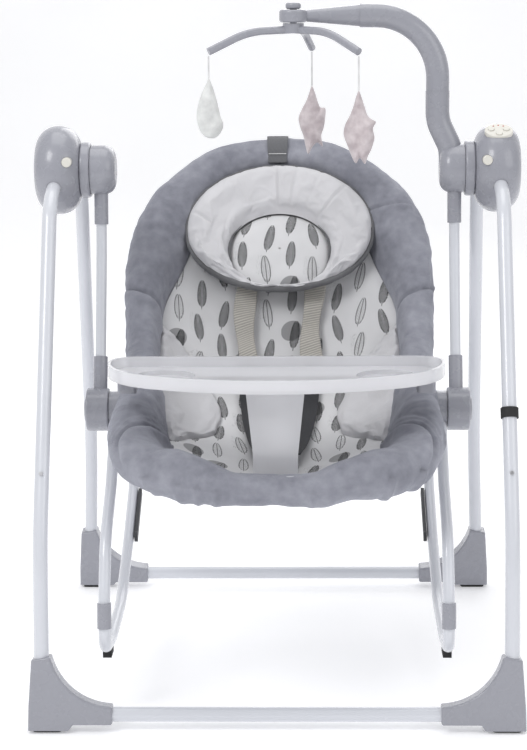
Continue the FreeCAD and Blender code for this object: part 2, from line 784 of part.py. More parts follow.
def bucket_section(y, z, half_width, depth, direction, thickness, lip):
    """A dished strip across the seat: an outer and an inner arc joined by two short edges."""
    down = Vector(*direction).normalize()
    middle = Vector(0, y, z)
    out, inn = Vector(half_width, 0, 0), Vector(half_width - lip, 0, 0)
    outer = Part.Arc(middle - out, middle + down * (depth + thickness), middle + out).toShape()
    inner = Part.Arc(middle + inn, middle + down * depth, middle - inn).toShape()
    right = Part.LineSegment(middle + out, middle + inn).toShape()
    left = Part.LineSegment(middle - inn, middle - out).toShape()
    return Part.Wire([outer, right, inner, left])


def cover_fields(cover):
    """The cover's padded fields, parted at its folds and seams, where they meet face to face."""
    fields = []
    for row, (front, back) in enumerate(zip(COVER_FOLDS, COVER_FOLDS[1:])):
        for column, (left, right) in enumerate(zip(COVER_SEAMS, COVER_SEAMS[1:])):
            middle = Vector((left + right) / 2, (front + back) / 2, 500)
            room = block(f"cover_room_{row}_{column}", (right - left, back - front, 600), middle)
            field = doc.addObject("Part::Common", f"cover_field_{row}_{column}")
            field.Base = cover
            field.Tool = room
            fields.append(field)
    return fields


def seat_parts():
    """The seat's bent tube frame and the padded cover round it."""
    rolls, tubes, bores, channels = [], [], [], []
    for side_name, side in SIDES.items():
        points = rim_points(side)
        rolls.append(swept(f"rim_roll_{side_name}", points, RIM_BENDS, "rim_radius"))
        tubes.append(swept(f"seat_tube_{side_name}", points, RIM_BENDS, "seat_tube_radius"))
        bores.append(swept(f"seat_bore_{side_name}", points, RIM_BENDS, "seat_tube_radius - seat_tube_wall"))
        channels.append(swept(f"seat_channel_{side_name}", points, RIM_BENDS, "seat_tube_radius + 0.1"))
    hubs = []
    for side_name, side in SIDES.items():
        hub_disc = cylinder(
            f"seat_hub_{side_name}_disc", "seat_hub_radius", "15.6", along_x(side, 223.8, HUB.y, HUB.z))
        pin = cylinder(f"seat_hub_{side_name}_pin", "pin_radius", "31", along_x(side, 224, HUB.y, HUB.z))
        link = rod(
            f"seat_hub_{side_name}_link", "seat_tube_radius",
            Vector(side * 201, HUB.y, 405), Vector(side * 226, HUB.y, HUB.z + 6))
        hubs.append(fuse(f"seat_hub_{side_name}_solid", hub_disc, pin, link))
    sections = [bucket_section(*station, COVER_THICKNESS, COVER_LIP) for station in BUCKET]
    bucket = feature("bucket", Part.makeLoft(sections, True, True))
    cover = cut("padded_cover", fuse("cover_solid", bucket, *rolls), *channels, *hubs)
    node("seat_cover", group("seat_cover", *cover_fields(cover)))
    frame = cut("seat_frame", fuse("seat_frame_solid", *tubes), *bores)
    node("seat_frame", frame)
    return node("seat_hubs", cut("seat_hubs", group("seat_hub_group", *hubs), fuse("seat_rail_room", *tubes)))


def rocker_points(side):
    """One rocker rail from its hub, round its front nose and back along the runner."""
    x = side * dim("rocker_offset")
    line = [(-85, 388), (-172, 300), (-262, 248), (-298, 175), (-308, 106), (-225, 92), (-70, 98)]
    line += [(60, 152), (165, 208)]
    return [Vector(x, y, z) for y, z in line]


def rocker_frame():
    """Both rails and the bar that joins them behind the seat, bent from one tube."""
    left, right = rocker_points(-1), rocker_points(1)
    corner = [Vector(s * dim("rocker_offset"), 270, 302) for s in (-1, 1)]
    points = [*left, corner[0], corner[1], *reversed(right)]
    bends = [60, 90, 90, 24, 60, 200, 200, 200, 60]
    radii = bends + list(reversed(bends))
    outside = swept("rocker_outside", points, radii, "rocker_tube_radius")
    inside = swept("rocker_inside", points, radii, "rocker_tube_radius - seat_tube_wall")
    room = [
        cylinder(f"rocker_room_{n}", "seat_hub_radius", "16", along_x(s, 223.5, HUB.y, HUB.z))
        for n, s in SIDES.items()
    ]
    return node("rocker_frame", cut("rocker_frame", outside, inside, *room)), outside


def rocker_sleeves(tube_solid):
    sleeves, nubs = [], []
    for side_name, side in SIDES.items():
        x = side * dim("rocker_offset")
        low, high = Vector(x, -304.8, 134), Vector(x, -300.6, 168)
        sleeves.append(rod(f"rocker_sleeve_{side_name}", "sleeve_radius", low, high))
        nubs.append(block(f"rocker_nub_{side_name}", (12, 30, 10), Vector(x, -262, 88)))
    node("rocker_sleeves", cut("rocker_sleeves", group("sleeve_pair", *sleeves), tube_solid))
    node("rocker_nubs", cut("rocker_nubs", group("nub_pair", *nubs), tube_solid))


def kickstands():
    """Two flat legs folded along the inside of the runners."""
    strips = []
    for side_name, side in SIDES.items():
        x = side * (dim("rocker_offset") - dim("rocker_tube_radius") - 3.2)
        start, end = Vector(x, 72, 158), Vector(x, 160, 205)
        middle = (start + end) * 0.5
        turn = Rotation(Vector(0, 1, 0), end - start)
        strip = block(f"kickstand_{side_name}_strip", (5, 100, 13), middle, turn)
        eye_place = along_x(side, abs(x) - 2.5, 70, 157)
        eye = cylinder(f"kickstand_{side_name}_eye", "kickstand_eye_radius", "5", eye_place)
        strips.append(fuse(f"kickstand_{side_name}", strip, eye))
    return node("kickstands", group("kickstands", *strips))


def band(name, x, points, width, thickness):
    """A flat strap across X that follows points in the Y-Z plane, with square corners."""
    above = [Vector(x, y, z) for y, z in points]
    shift = []
    for i, point in enumerate(above):
        ahead = above[min(i + 1, len(above) - 1)] - above[max(i - 1, 0)]
        shift.append(point + Vector(0, -ahead.z, ahead.y).normalize() * thickness)
    face = Part.Face(Part.makePolygon([*above, *reversed(shift), above[0]]))
    face.translate(Vector(-width / 2, 0, 0))
    return feature(name, face.extrude(Vector(width, 0, 0)))


# The harness: where each strap lies beside the middle, and its route from its top to the buckle.
STRAP_OFFSET = 50
STRAP_ROUTE = [(126, 456), (84, 414), (38, 369), (-40, 337), (-105, 320)]
CROTCH_ROUTE = [(-190, 298), (-155, 306), (-128, 316)]
SHOULDER_PAD_ROUTE = [(159, 538), (139, 497), (121, 462)]
STRAP_WIDTH, STRAP_THICKNESS = 25, 2
SHOULDER_PAD_WIDTH, SHOULDER_PAD_THICKNESS = 36, 6

seat_parts()
_, rocker_tube = rocker_frame()
rocker_sleeves(rocker_tube)
kickstands()
pillow_centre = Vector(0, 196, 606) + BACK_FACE * PILLOW_STAND
pillow = ellipsoid("head_pillow", (10, 10, 10), pillow_centre, BACK_TURN)
bind(pillow, Radius2="pillow_half_width", Radius3="pillow_half_thickness", Radius1="pillow_half_length")
node("head_pillow", pillow)
straps = [band("crotch_strap", 0, CROTCH_ROUTE, STRAP_WIDTH, STRAP_THICKNESS)]
pads = []
for side_name, side in SIDES.items():
    x = side * STRAP_OFFSET
    straps.append(band(f"strap_{side_name}", x, STRAP_ROUTE, STRAP_WIDTH, STRAP_THICKNESS))
    pad_size = (SHOULDER_PAD_WIDTH, SHOULDER_PAD_THICKNESS)
    pads.append(band(f"shoulder_pad_{side_name}", x, SHOULDER_PAD_ROUTE, *pad_size))
node("harness_straps", group("harness_straps", *straps))
node("shoulder_pads", group("shoulder_pads", *pads))
node("harness_buckle", block("harness_buckle", (46, 34, 12), Vector(0, -114, 328), Rotation(X_AXIS, -8)))


# ---------------------------------------------------------------- tray

# The tray's outline: its back and front, the radii of its front, its ends and its back corners, and how
# far round from the middle the front gives way to the ends.
TRAY_BACK, TRAY_FRONT = -150, -330
TRAY_FRONT_RADIUS, TRAY_END_RADIUS, TRAY_CORNER_RADIUS = 363, 106, 36
TRAY_FRONT_ANGLE = 28.8


def tray_outline(part, name, inset):
    """A straight back edge, rounded back corners, round ends and a long curved front."""
    front_centre = TRAY_FRONT + TRAY_FRONT_RADIUS
    turn = math.radians(TRAY_FRONT_ANGLE)
    gap = TRAY_FRONT_RADIUS - TRAY_END_RADIUS
    end_centre = (gap * math.sin(turn), front_centre - gap * math.cos(turn))
    half_width = end_centre[0] + TRAY_END_RADIUS
    corner_centre = (half_width - TRAY_CORNER_RADIUS, TRAY_BACK - TRAY_CORNER_RADIUS)

    def on_arc(centre, radius, degrees):
        angle = math.radians(degrees)
        return centre[0] + (radius - inset) * math.cos(angle), centre[1] + (radius - inset) * math.sin(angle)

    joint = TRAY_FRONT_ANGLE - 90
    corner = [on_arc(corner_centre, TRAY_CORNER_RADIUS, degrees) for degrees in (90, 45, 0)]
    end = [on_arc(end_centre, TRAY_END_RADIUS, degrees) for degrees in (0, joint / 2, joint)]
    front = [on_arc((0, front_centre), TRAY_FRONT_RADIUS, degrees) for degrees in (joint, -90, -180 - joint)]
    mirrored_end = [(-x, y) for x, y in reversed(end)]
    mirrored_corner = [(-x, y) for x, y in reversed(corner)]
    pieces = [corner, (corner[2], end[0]), end, front, mirrored_end]
    pieces += [(mirrored_end[2], mirrored_corner[0]), mirrored_corner, (mirrored_corner[2], corner[0])]
    return outline(part, "XY_Plane", name, pieces)


def tray():
    """A shallow tray with a raised lip and two round cup wells."""
    outside, inside = body("tray_outside"), body("tray_inside")
    pad(outside, tray_outline(outside, "tray_outside_profile", 0), "tray_outside_pad", "tray_lip")
    pad(inside, tray_outline(inside, "tray_inside_profile", dim("tray_wall")), "tray_inside_pad", "tray_lip")
    floor = dim("tray_floor_height")
    outside.Placement.Base = Vector(0, 0, floor)
    inside.Placement.Base = Vector(0, 0, floor + dim("tray_wall"))
    bosses, wells = [], []
    for side_name, side in SIDES.items():
        place = Placement(Vector(side * 150, TRAY_BACK - 70, floor - dim("cup_depth")), Rotation())
        bosses.append(cylinder(f"cup_boss_{side_name}", "cup_radius + tray_wall", "cup_depth + 2", place))
        raised = Placement(place.Base + Z_AXIS * dim("tray_wall"), Rotation())
        wells.append(cylinder(f"cup_well_{side_name}", "cup_radius", "cup_depth + tray_lip", raised))
    solid = fuse("tray_solid", outside, *bosses)
    return node("tray", cut("tray", solid, inside, *wells))


def tray_post():
    """The tapered post between the child's legs that carries the tray."""
    part = body("tray_post_moulding")
    top, bottom = dim("tray_floor_height"), 338.0
    profile = outline(part, "XZ_Plane", "tray_post_profile", polygon([
        (-39.5, top), (39.5, top), (30, bottom + 30), (30, bottom), (-30, bottom), (-30, bottom + 30)]))
    pad(part, profile, "tray_post_pad", "post_depth", True)
    part.Placement.Base = Vector(0, -272, 0)
    return node("tray_post", part)


def tray_clips():
    """The clip under each end of the tray."""
    clips = [
        block(f"tray_clip_{n}", (26, 34, 26), Vector(s * 205, -178, dim("tray_floor_height") - 13))
        for n, s in SIDES.items()
    ]
    soft = [rounded(f"tray_clip_{i}_soft", c, 6, upright) for i, c in enumerate(clips)]
    return node("tray_clips", group("tray_clips", *soft))


tray()
tray_post()
tray_clips()


# ---------------------------------------------------------------- mobile

RING_HEIGHT = 938.0
SPIDER_ANGLES = {"leaf": 198.0, "star": 78.0, "moon": 316.4}
HOOK_HEIGHT = 884.0
CORD_LENGTHS = {"leaf": 31.0, "star": 50.0, "moon": 47.0}
TOY_SIZES = {"leaf": (18, 12, 42), "star": (20, 11, 52), "moon": (22, 11, 50)}


def mobile_arm():
    """The arm that swivels on the mast and reaches over the seat, ending in a ring."""
    x, ring = dim("mast_offset"), dim("mobile_hub_offset")
    seam = dim("mast_seam_height")
    points = [Vector(x, 0, seam), Vector(x, 0, 936), Vector(118, 0, 938), Vector(ring + 12, 0, RING_HEIGHT)]
    arm = swept("mobile_arm_thick", points[:3], 88, "mast_radius - 0.5")
    reach = doc.addObject("Part::Cone", "mobile_arm_reach")
    bind(reach, Radius1="mast_radius - 1", Radius2="mobile_tip_radius")
    along = (points[3] - points[2]).normalize()
    root = points[2] - along * 8
    reach.Height = points[3].distanceToPoint(root)
    reach.Placement = Placement(root, Rotation(Z_AXIS, along))
    ring_place = Placement(Vector(ring, 0, RING_HEIGHT - 9), Rotation())
    ring_disc = cylinder("mobile_ring", "mobile_ring_radius", "18", ring_place)
    ring_soft = rounded("mobile_ring_soft", ring_disc, 4, whole_circle)
    spigot = rod("mobile_spigot", "mast_spigot_radius", Vector(x, 0, seam - dim("mast_spigot_length")),
                 Vector(x, 0, seam + 5))
    bore_place = Placement(ring_place.Base - Z_AXIS * 6, Rotation())
    bore = cylinder("mobile_ring_bore", "mobile_shaft_bore", "30", bore_place)
    solid = fuse("mobile_arm_solid", arm, reach, ring_soft, spigot)
    return node("mobile_arm", cut("mobile_arm", solid, bore))


def hook_point(name):
    angle = math.radians(SPIDER_ANGLES[name])
    reach = dim("mobile_reach")
    return Vector(dim("mobile_hub_offset") + reach * math.cos(angle), reach * math.sin(angle), HOOK_HEIGHT)


def mobile_spider():
    """The three drooping arms, their boss, and the shaft and ball that hold them in the ring."""
    centre = Vector(dim("mobile_hub_offset"), 0, 0)
    heights = (914, 920, 947.6)
    boss_place, shaft_place, cap_place = (Placement(centre + Z_AXIS * z, Rotation()) for z in heights)
    boss = cylinder("spider_boss", "mobile_ring_radius - 5", "14", boss_place)
    shaft = cylinder("spider_shaft", "mobile_shaft_radius", "30", shaft_place)
    cap = cylinder("spider_cap", "mobile_ring_radius - 9", "9", cap_place)
    cap_soft = rounded("spider_cap_soft", cap, 3.5, whole_circle)
    arms = []
    for name in SPIDER_ANGLES:
        tip = hook_point(name) + Z_AXIS * 6
        outwards = (Vector(tip.x, tip.y, 0) - centre).normalize()
        root = centre + outwards * 4 + Z_AXIS * 919
        elbow = centre + outwards * 66 + Z_AXIS * 917
        arms.append(swept(f"spider_arm_{name}", [root, elbow, tip], 120, "pin_radius - 0.5"))
    return node("mobile_spider", fuse("mobile_spider", boss, shaft, cap_soft, *arms))


mobile_arm()
mobile_spider()
for name, half_sizes in TOY_SIZES.items():
    hook = hook_point(name)
    toy_top = hook - Z_AXIS * CORD_LENGTHS[name]
    node(f"{name}_string", rod(f"{name}_string", "cord_radius", toy_top, hook))
    node(f"{name}_toy", ellipsoid(f"{name}_toy", half_sizes, toy_top - Z_AXIS * half_sizes[2]))


# ---------------------------------------------------------------- check and write


doc.recompute()
failed = [f"{o.Label} {o.State}" for o in doc.Objects if "Invalid" in o.State or "Error" in o.State]
for label, obj in nodes.items():
    if obj.Shape.isNull() or not obj.Shape.isValid() or not obj.Shape.Solids:
        failed.append(f"{label} has no valid solid")
    else:
        print(f"{label}: {len(obj.Shape.Solids)} solids, {obj.Shape.Volume / 1000:.1f} cm3")
if failed:
    raise RuntimeError("; ".join(failed))

os.makedirs("parts", exist_ok=True)
for label, obj in nodes.items():
    obj.Shape.exportStep(f"parts/{label}.step")
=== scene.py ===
"""Looks of the baby swing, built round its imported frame: plush and cotton soft goods, moulded plastic,
powder-coated tube, the tray and the toy mobile. Metres, +Z up, the front at -Y."""

import json
import math

import bpy
import numpy as np
from mathutils import Euler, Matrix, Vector


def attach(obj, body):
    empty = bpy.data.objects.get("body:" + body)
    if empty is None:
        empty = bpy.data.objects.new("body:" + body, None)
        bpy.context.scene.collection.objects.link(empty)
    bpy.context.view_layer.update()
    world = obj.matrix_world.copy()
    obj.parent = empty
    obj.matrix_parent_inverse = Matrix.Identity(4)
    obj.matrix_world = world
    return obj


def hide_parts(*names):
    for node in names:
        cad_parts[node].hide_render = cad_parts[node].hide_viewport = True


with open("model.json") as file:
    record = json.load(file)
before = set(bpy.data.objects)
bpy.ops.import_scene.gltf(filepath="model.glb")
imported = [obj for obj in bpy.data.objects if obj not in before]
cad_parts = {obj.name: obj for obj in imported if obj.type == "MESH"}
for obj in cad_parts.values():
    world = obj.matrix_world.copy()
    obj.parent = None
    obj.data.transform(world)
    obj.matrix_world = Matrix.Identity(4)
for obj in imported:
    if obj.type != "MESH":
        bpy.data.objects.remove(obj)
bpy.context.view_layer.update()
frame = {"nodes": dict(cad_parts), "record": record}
scene = bpy.context.scene

SIDES = {"left": -1, "right": 1}


# ---------------------------------------------------------------- camera


def make_camera():
    """A long lens in front of the swing, a little above its top and tilted down."""
    data = bpy.data.cameras.new("camera")
    data.lens = 95.9
    data.sensor_width = 36.0
    camera = bpy.data.objects.new("camera", data)
    scene.collection.objects.link(camera)
    camera.location = (0.049, -2.87, 0.979)
    pitch, yaw, roll = math.radians(90 - 11.0), math.radians(1.42), math.radians(-0.45)
    camera.rotation_mode = "XYZ"
    aim = Euler((pitch, 0, yaw), "XYZ").to_matrix()
    tilt = Euler((0, 0, roll), "XYZ").to_matrix()
    camera.rotation_euler = (aim @ tilt).to_euler("XYZ")
    scene.camera = camera


make_camera()


# ---------------------------------------------------------------- node materials


class Nodes:
    """A short way to write a node tree: math nodes, textures and one Principled shader."""

    def __init__(self, name):
        self.material = bpy.data.materials.new(name)
        self.material.use_nodes = True
        self.tree = self.material.node_tree
        self.shader = self.tree.nodes["Principled BSDF"]

    def add(self, kind, **inputs):
        made = self.tree.nodes.new(kind)
        for key, value in inputs.items():
            self.put(made.inputs[key.replace("_", " ")], value)
        return made

    def put(self, socket, value):
        if isinstance(value, bpy.types.NodeSocket):
            self.tree.links.new(value, socket)
        else:
            socket.default_value = value

    def math(self, operation, *values):
        made = self.tree.nodes.new("ShaderNodeMath")
        made.operation = operation
        for socket, value in zip(made.inputs, values):
            self.put(socket, value)
        return made.outputs[0]

    def coords(self, scale=(1, 1, 1), uv=False):
        source = self.tree.nodes.new("ShaderNodeTexCoord").outputs["UV" if uv else "Object"]
        moved = self.tree.nodes.new("ShaderNodeMapping")
        self.put(moved.inputs["Vector"], source)
        moved.inputs["Scale"].default_value = scale
        return moved.outputs[0]

    def noise(self, scale, detail=3.0, vector=None):
        made = self.add("ShaderNodeTexNoise", Scale=scale, Detail=detail)
        self.put(made.inputs["Vector"], vector if vector is not None else self.coords())
        return made.outputs["Fac"]

    def ramp(self, value, *stops):
        made = self.tree.nodes.new("ShaderNodeValToRGB")
        self.put(made.inputs[0], value)
        ramp = made.color_ramp
        for i, (place, colour) in enumerate(stops):
            stop = ramp.elements[i] if i < 2 else ramp.elements.new(place)
            stop.position = place
            stop.color = (*colour, 1)
        return made.outputs[0]

    def mix(self, factor, first, second):
        made = self.tree.nodes.new("ShaderNodeMix")
        made.data_type = "RGBA"
        self.put(made.inputs[0], factor)
        for socket, value in ((made.inputs[6], first), (made.inputs[7], second)):
            self.put(socket, value if isinstance(value, bpy.types.NodeSocket) else (*value, 1))
        return made.outputs[2]

    def bump(self, height, strength, distance):
        made = self.add("ShaderNodeBump", Height=height, Strength=strength, Distance=distance)
        self.put(self.shader.inputs["Normal"], made.outputs[0])

    def set(self, **inputs):
        for key, value in inputs.items():
            socket = self.shader.inputs[key.replace("_", " ")]
            if isinstance(value, tuple) and len(value) == 3 and socket.type == "RGBA":
                value = (*value, 1)
            self.put(socket, value)
        return self


def plastic(name, colour, roughness, grain=0.25, coat=0.0):
    """Moulded plastic: faint tone changes, a fine grain and slightly uneven gloss."""
    n = Nodes(name)
    tone = n.noise(5, 2)
    darker, lighter = (tuple(c * k for c in colour) for k in (0.975, 1.02))
    n.set(Base_Color=n.ramp(tone, (0.3, darker), (0.7, lighter)))
    n.set(Roughness=n.math("MULTIPLY_ADD", n.noise(60), 0.1, roughness - 0.05), Coat_Weight=coat)
    n.bump(n.noise(1400, 2), grain, 0.00015)
    return n.material


def powder_coat(name, colour):
    """Smooth white powder coat over tube, with a little orange peel."""
    n = Nodes(name)
    n.set(Base_Color=n.ramp(n.noise(7, 2), (0.3, tuple(c * 0.97 for c in colour)), (0.7, colour)))
    n.set(Roughness=n.math("MULTIPLY_ADD", n.noise(40), 0.1, 0.2), Coat_Weight=0.5, Coat_Roughness=0.12)
    n.bump(n.noise(420, 2), 0.12, 0.0003)
    return n.material


def metal(name, colour, roughness):
    n = Nodes(name)
    n.set(Base_Color=n.ramp(n.noise(30), (0.3, tuple(c * 0.9 for c in colour)), (0.7, colour)), Metallic=1.0)
    n.set(Roughness=n.math("MULTIPLY_ADD", n.noise(200, vector=n.coords((1, 1, 14))), 0.15, roughness))
    return n.material


def plush(name, dark, light):
    """Short-pile velour: brushed patches of tone, a nap of fine hairs and sheen at the edges."""
    n = Nodes(name)
    patches = n.math("MULTIPLY_ADD", n.noise(13, 4), 0.65, n.math("MULTIPLY", n.noise(70, 3), 0.35))
    pile = n.noise(1500, 2, n.coords((1, 1, 0.6)))
    tone = n.ramp(patches, (0.36, dark), (0.64, light))
    n.set(Base_Color=n.mix(n.math("MULTIPLY", pile, 0.35), tone, tuple(c * 0.8 for c in dark)))
    n.set(Roughness=0.95, Sheen_Weight=0.35, Sheen_Roughness=0.4, Sheen_Tint=(0.85, 0.87, 0.95))
    n.set(Specular_IOR_Level=0.15)
    n.bump(n.math("MULTIPLY_ADD", n.noise(120, 3), 0.6, pile), 0.55, 0.0012)
    return n.material


def weave_height(n, per_metre, uv=True):
    """A plain weave: threads over and under, from two crossed waves."""
    u = n.add("ShaderNodeSeparateXYZ", Vector=n.coords((per_metre,) * 3, uv))
    across = n.math("SINE", n.math("MULTIPLY", u.outputs[0], math.pi))
    along = n.math("SINE", n.math("MULTIPLY", u.outputs[1], math.pi))
    return n.math("ADD", n.math("ABSOLUTE", across), n.math("ABSOLUTE", along))


def cotton(name, colour, printed=False):
    """White cotton: a plain weave, soft creases, and the feather print where it is printed."""
    n = Nodes(name)
    base = n.ramp(n.noise(24, 4), (0.3, tuple(c * 0.93 for c in colour)), (0.7, colour))
    n.set(Base_Color=feather_print(n, base) if printed else base)
    n.set(Roughness=0.9, Sheen_Weight=0.15, Sheen_Roughness=0.5, Specular_IOR_Level=0.2)
    height = n.math("MULTIPLY_ADD", weave_height(n, 1500), 0.12, n.math("MULTIPLY", n.noise(32, 4), 1.4))
    n.bump(height, 0.5, 0.0016)
    return n.material


# The feather print, in metres: its columns and rows, a feather's half length and half width, the lines
# it is drawn with, and the reach of the grey spots and of the scattered dots.
PRINT_COLUMN, PRINT_ROW = 0.0355, 0.0585
FEATHER_LENGTH, FEATHER_WIDTH = 0.0215, 0.0070
OUTLINE_WIDTH, RACHIS_WIDTH, RACHIS_DROP = 0.00055, 0.0005, 0.0035
SPOT_REACH, DOTS_REACH = 0.0160, 0.0165
# How often the barbs repeat, in radians a metre: on inked feathers, on outlined ones and at the edge.
BARB_RATE, SPARSE_BARB_RATE, EDGE_RATE = 2100.0, 1500.0, 1500.0
INK, SPOT_GREY = (0.012, 0.012, 0.014), (0.10, 0.10, 0.105)


def feather_cell(n):
    """The print's cells: the place in a cell from its feather's middle, and three random numbers."""
    uv = n.add("ShaderNodeSeparateXYZ", Vector=n.coords((1, 1, 1), True))
    column_raw = n.math("DIVIDE", uv.outputs[0], PRINT_COLUMN)
    column = n.math("FLOOR", column_raw)
    stagger = n.math("MULTIPLY", n.math("PINGPONG", column, 1.0), 0.47)
    row_raw = n.math("ADD", n.math("DIVIDE", uv.outputs[1], PRINT_ROW), stagger)
    row = n.math("FLOOR", row_raw)
    place = n.add("ShaderNodeCombineXYZ", X=column, Y=row)
    random = n.tree.nodes.new("ShaderNodeTexWhiteNoise")
    random.noise_dimensions = "2D"
    n.put(random.inputs["Vector"], place.outputs[0])
    chance = n.add("ShaderNodeSeparateColor", Color=random.outputs["Color"])
    pick, lean, drift = (chance.outputs[i] for i in range(3))
    x = n.math("SUBTRACT", n.math("FRACT", column_raw), n.math("MULTIPLY_ADD", drift, 0.24, 0.38))
    y = n.math("SUBTRACT", n.math("FRACT", row_raw), n.math("MULTIPLY_ADD", lean, 0.14, 0.43))
    x = n.math("MULTIPLY", x, PRINT_COLUMN)
    y = n.math("MULTIPLY", y, PRINT_ROW)
    tilt = n.math("MULTIPLY", n.math("SUBTRACT", lean, 0.5), 0.5)
    return n.math("MULTIPLY_ADD", y, tilt, x), y, pick, drift


def feather_ink(n, x, y, pick):
    """Where ink lies: an outline, a rachis, and barbs that are close on inked feathers."""
    along = n.math("DIVIDE", y, FEATHER_LENGTH)
    rest = n.math("SUBTRACT", 1.0, n.math("MULTIPLY", along, along))
    taper = n.math("SQRT", n.math("MAXIMUM", rest, 0.0))
    narrowing = n.math("MULTIPLY_ADD", along, -0.16, 1.0)
    width = n.math("MULTIPLY", n.math("MULTIPLY", taper, FEATHER_WIDTH), narrowing)
    side = n.math("ABSOLUTE", x)
    slant = n.math("MULTIPLY_ADD", side, -1.1, y)
    ragged = n.math("SINE", n.math("MULTIPLY", slant, EDGE_RATE))
    width = n.math("MULTIPLY", width, n.math("MULTIPLY_ADD", ragged, 0.09, 0.94))
    inside = n.math("LESS_THAN", side, width)
    edge = n.math("LESS_THAN", n.math("ABSOLUTE", n.math("SUBTRACT", side, width)), OUTLINE_WIDTH)
    edge = n.math("MULTIPLY", edge, n.math("GREATER_THAN", taper, 0.01))
    barbs = n.math("GREATER_THAN", n.math("SINE", n.math("MULTIPLY", slant, BARB_RATE)), -0.62)
    sparse = n.math("GREATER_THAN", n.math("SINE", n.math("MULTIPLY", slant, SPARSE_BARB_RATE)), 0.86)
    lowered = n.math("ABSOLUTE", n.math("ADD", y, RACHIS_DROP))
    stem_reach = n.math("LESS_THAN", lowered, FEATHER_LENGTH + 0.0015)
    stem = n.math("MULTIPLY", n.math("LESS_THAN", side, RACHIS_WIDTH), stem_reach)
    inked = n.math("GREATER_THAN", pick, 0.38)
    gap = n.math("GREATER_THAN", side, 0.0009)
    filled = n.math("MULTIPLY", n.math("MULTIPLY", inside, inked), n.math("MULTIPLY", barbs, gap))
    plain = n.math("SUBTRACT", 1.0, inked)
    lines = n.math("MULTIPLY", n.math("MULTIPLY", inside, sparse), plain)
    return n.math("MAXIMUM", n.math("MAXIMUM", filled, lines), n.math("MAXIMUM", edge, stem))


def feather_print(n, base):
    """Rows of upright feathers, some inked and some only outlined, with here and there a grey spot or a
    scatter of dots behind them."""
    x, y, pick, drift = feather_cell(n)
    ink = feather_ink(n, x, y, pick)
    spot_x = n.math("ADD", x, 0.006)
    spot_y = n.math("SUBTRACT", y, 0.006)
    squares = n.math("ADD", n.math("POWER", spot_x, 2.0), n.math("POWER", spot_y, 2.0))
    reach = n.math("SQRT", squares)
    spotted = n.math("GREATER_THAN", drift, 0.84)
    spot = n.math("MULTIPLY", n.math("LESS_THAN", reach, SPOT_REACH), spotted)
    grain = n.add("ShaderNodeTexVoronoi", Scale=620.0)
    n.put(grain.inputs["Vector"], n.coords((1, 1, 1), True))
    dots = n.math("LESS_THAN", grain.outputs["Distance"], 0.24)
    dotted = n.math("MULTIPLY", n.math("LESS_THAN", drift, 0.2), n.math("LESS_THAN", reach, DOTS_REACH))
    scatter = n.math("MULTIPLY", dots, n.math("MULTIPLY", dotted, 0.9))
    washed = n.mix(n.math("MAXIMUM", n.math("MULTIPLY", spot, 0.62), scatter), base, SPOT_GREY)
    shade = n.math("MULTIPLY_ADD", n.noise(260, 3, n.coords((1, 1, 1), True)), 1.1, 0.42)
    covered = n.math("MINIMUM", n.math("MULTIPLY", ink, shade), 1.0)
    return n.mix(covered, washed, INK)


def webbing(name, colour, ribs):
    """Woven strap with ribs across it, and painted shade darkening the gaps between the ribs."""
    n = Nodes(name)
    uv = n.add("ShaderNodeSeparateXYZ", Vector=n.coords((1, 1, 1), True))
    slanted = n.math("MULTIPLY_ADD", uv.outputs[0], 0.28, uv.outputs[1])
    rib = n.math("SINE", n.math("MULTIPLY", slanted, ribs * 2 * math.pi))
    rib_height_and_shade = n.math("MULTIPLY_ADD", rib, 0.5, 0.5)
    # The colour follows the rib height: painted shade, darker in the gaps between the ribs.
    n.set(Base_Color=n.ramp(rib_height_and_shade, (0.1, tuple(c * 0.62 for c in colour)), (0.75, colour)))
    n.set(Roughness=0.8, Sheen_Weight=0.2, Sheen_Roughness=0.4)
    n.bump(n.math("MULTIPLY_ADD", weave_height(n, 1800), 0.15, rib_height_and_shade), 0.6, 0.0009)
    return n.material


def tray_plastic(name):
    """Milky clear plastic, glossy, with light passing through it."""
    n = Nodes(name)
    tone = n.ramp(n.noise(6, 2), (0.3, (0.86, 0.86, 0.89)), (0.7, (0.91, 0.91, 0.94)))
    n.set(Base_Color=tone, Roughness=0.14, Transmission_Weight=0.35, IOR=1.48, Coat_Weight=0.4)
    n.bump(n.noise(26, 2), 0.06, 0.001)
    return n.material


def felt(name, dark, light):
    """Brushed toy fabric with a soft fuzz."""
    n = Nodes(name)
    n.set(Base_Color=n.ramp(n.noise(60, 5), (0.32, dark), (0.68, light)), Roughness=0.95)
    n.set(Sheen_Weight=0.5, Sheen_Roughness=0.5, Specular_IOR_Level=0.15)
    n.bump(n.math("MULTIPLY_ADD", n.noise(900, 3), 0.5, n.noise(130, 4)), 0.6, 0.0014)
    return n.material


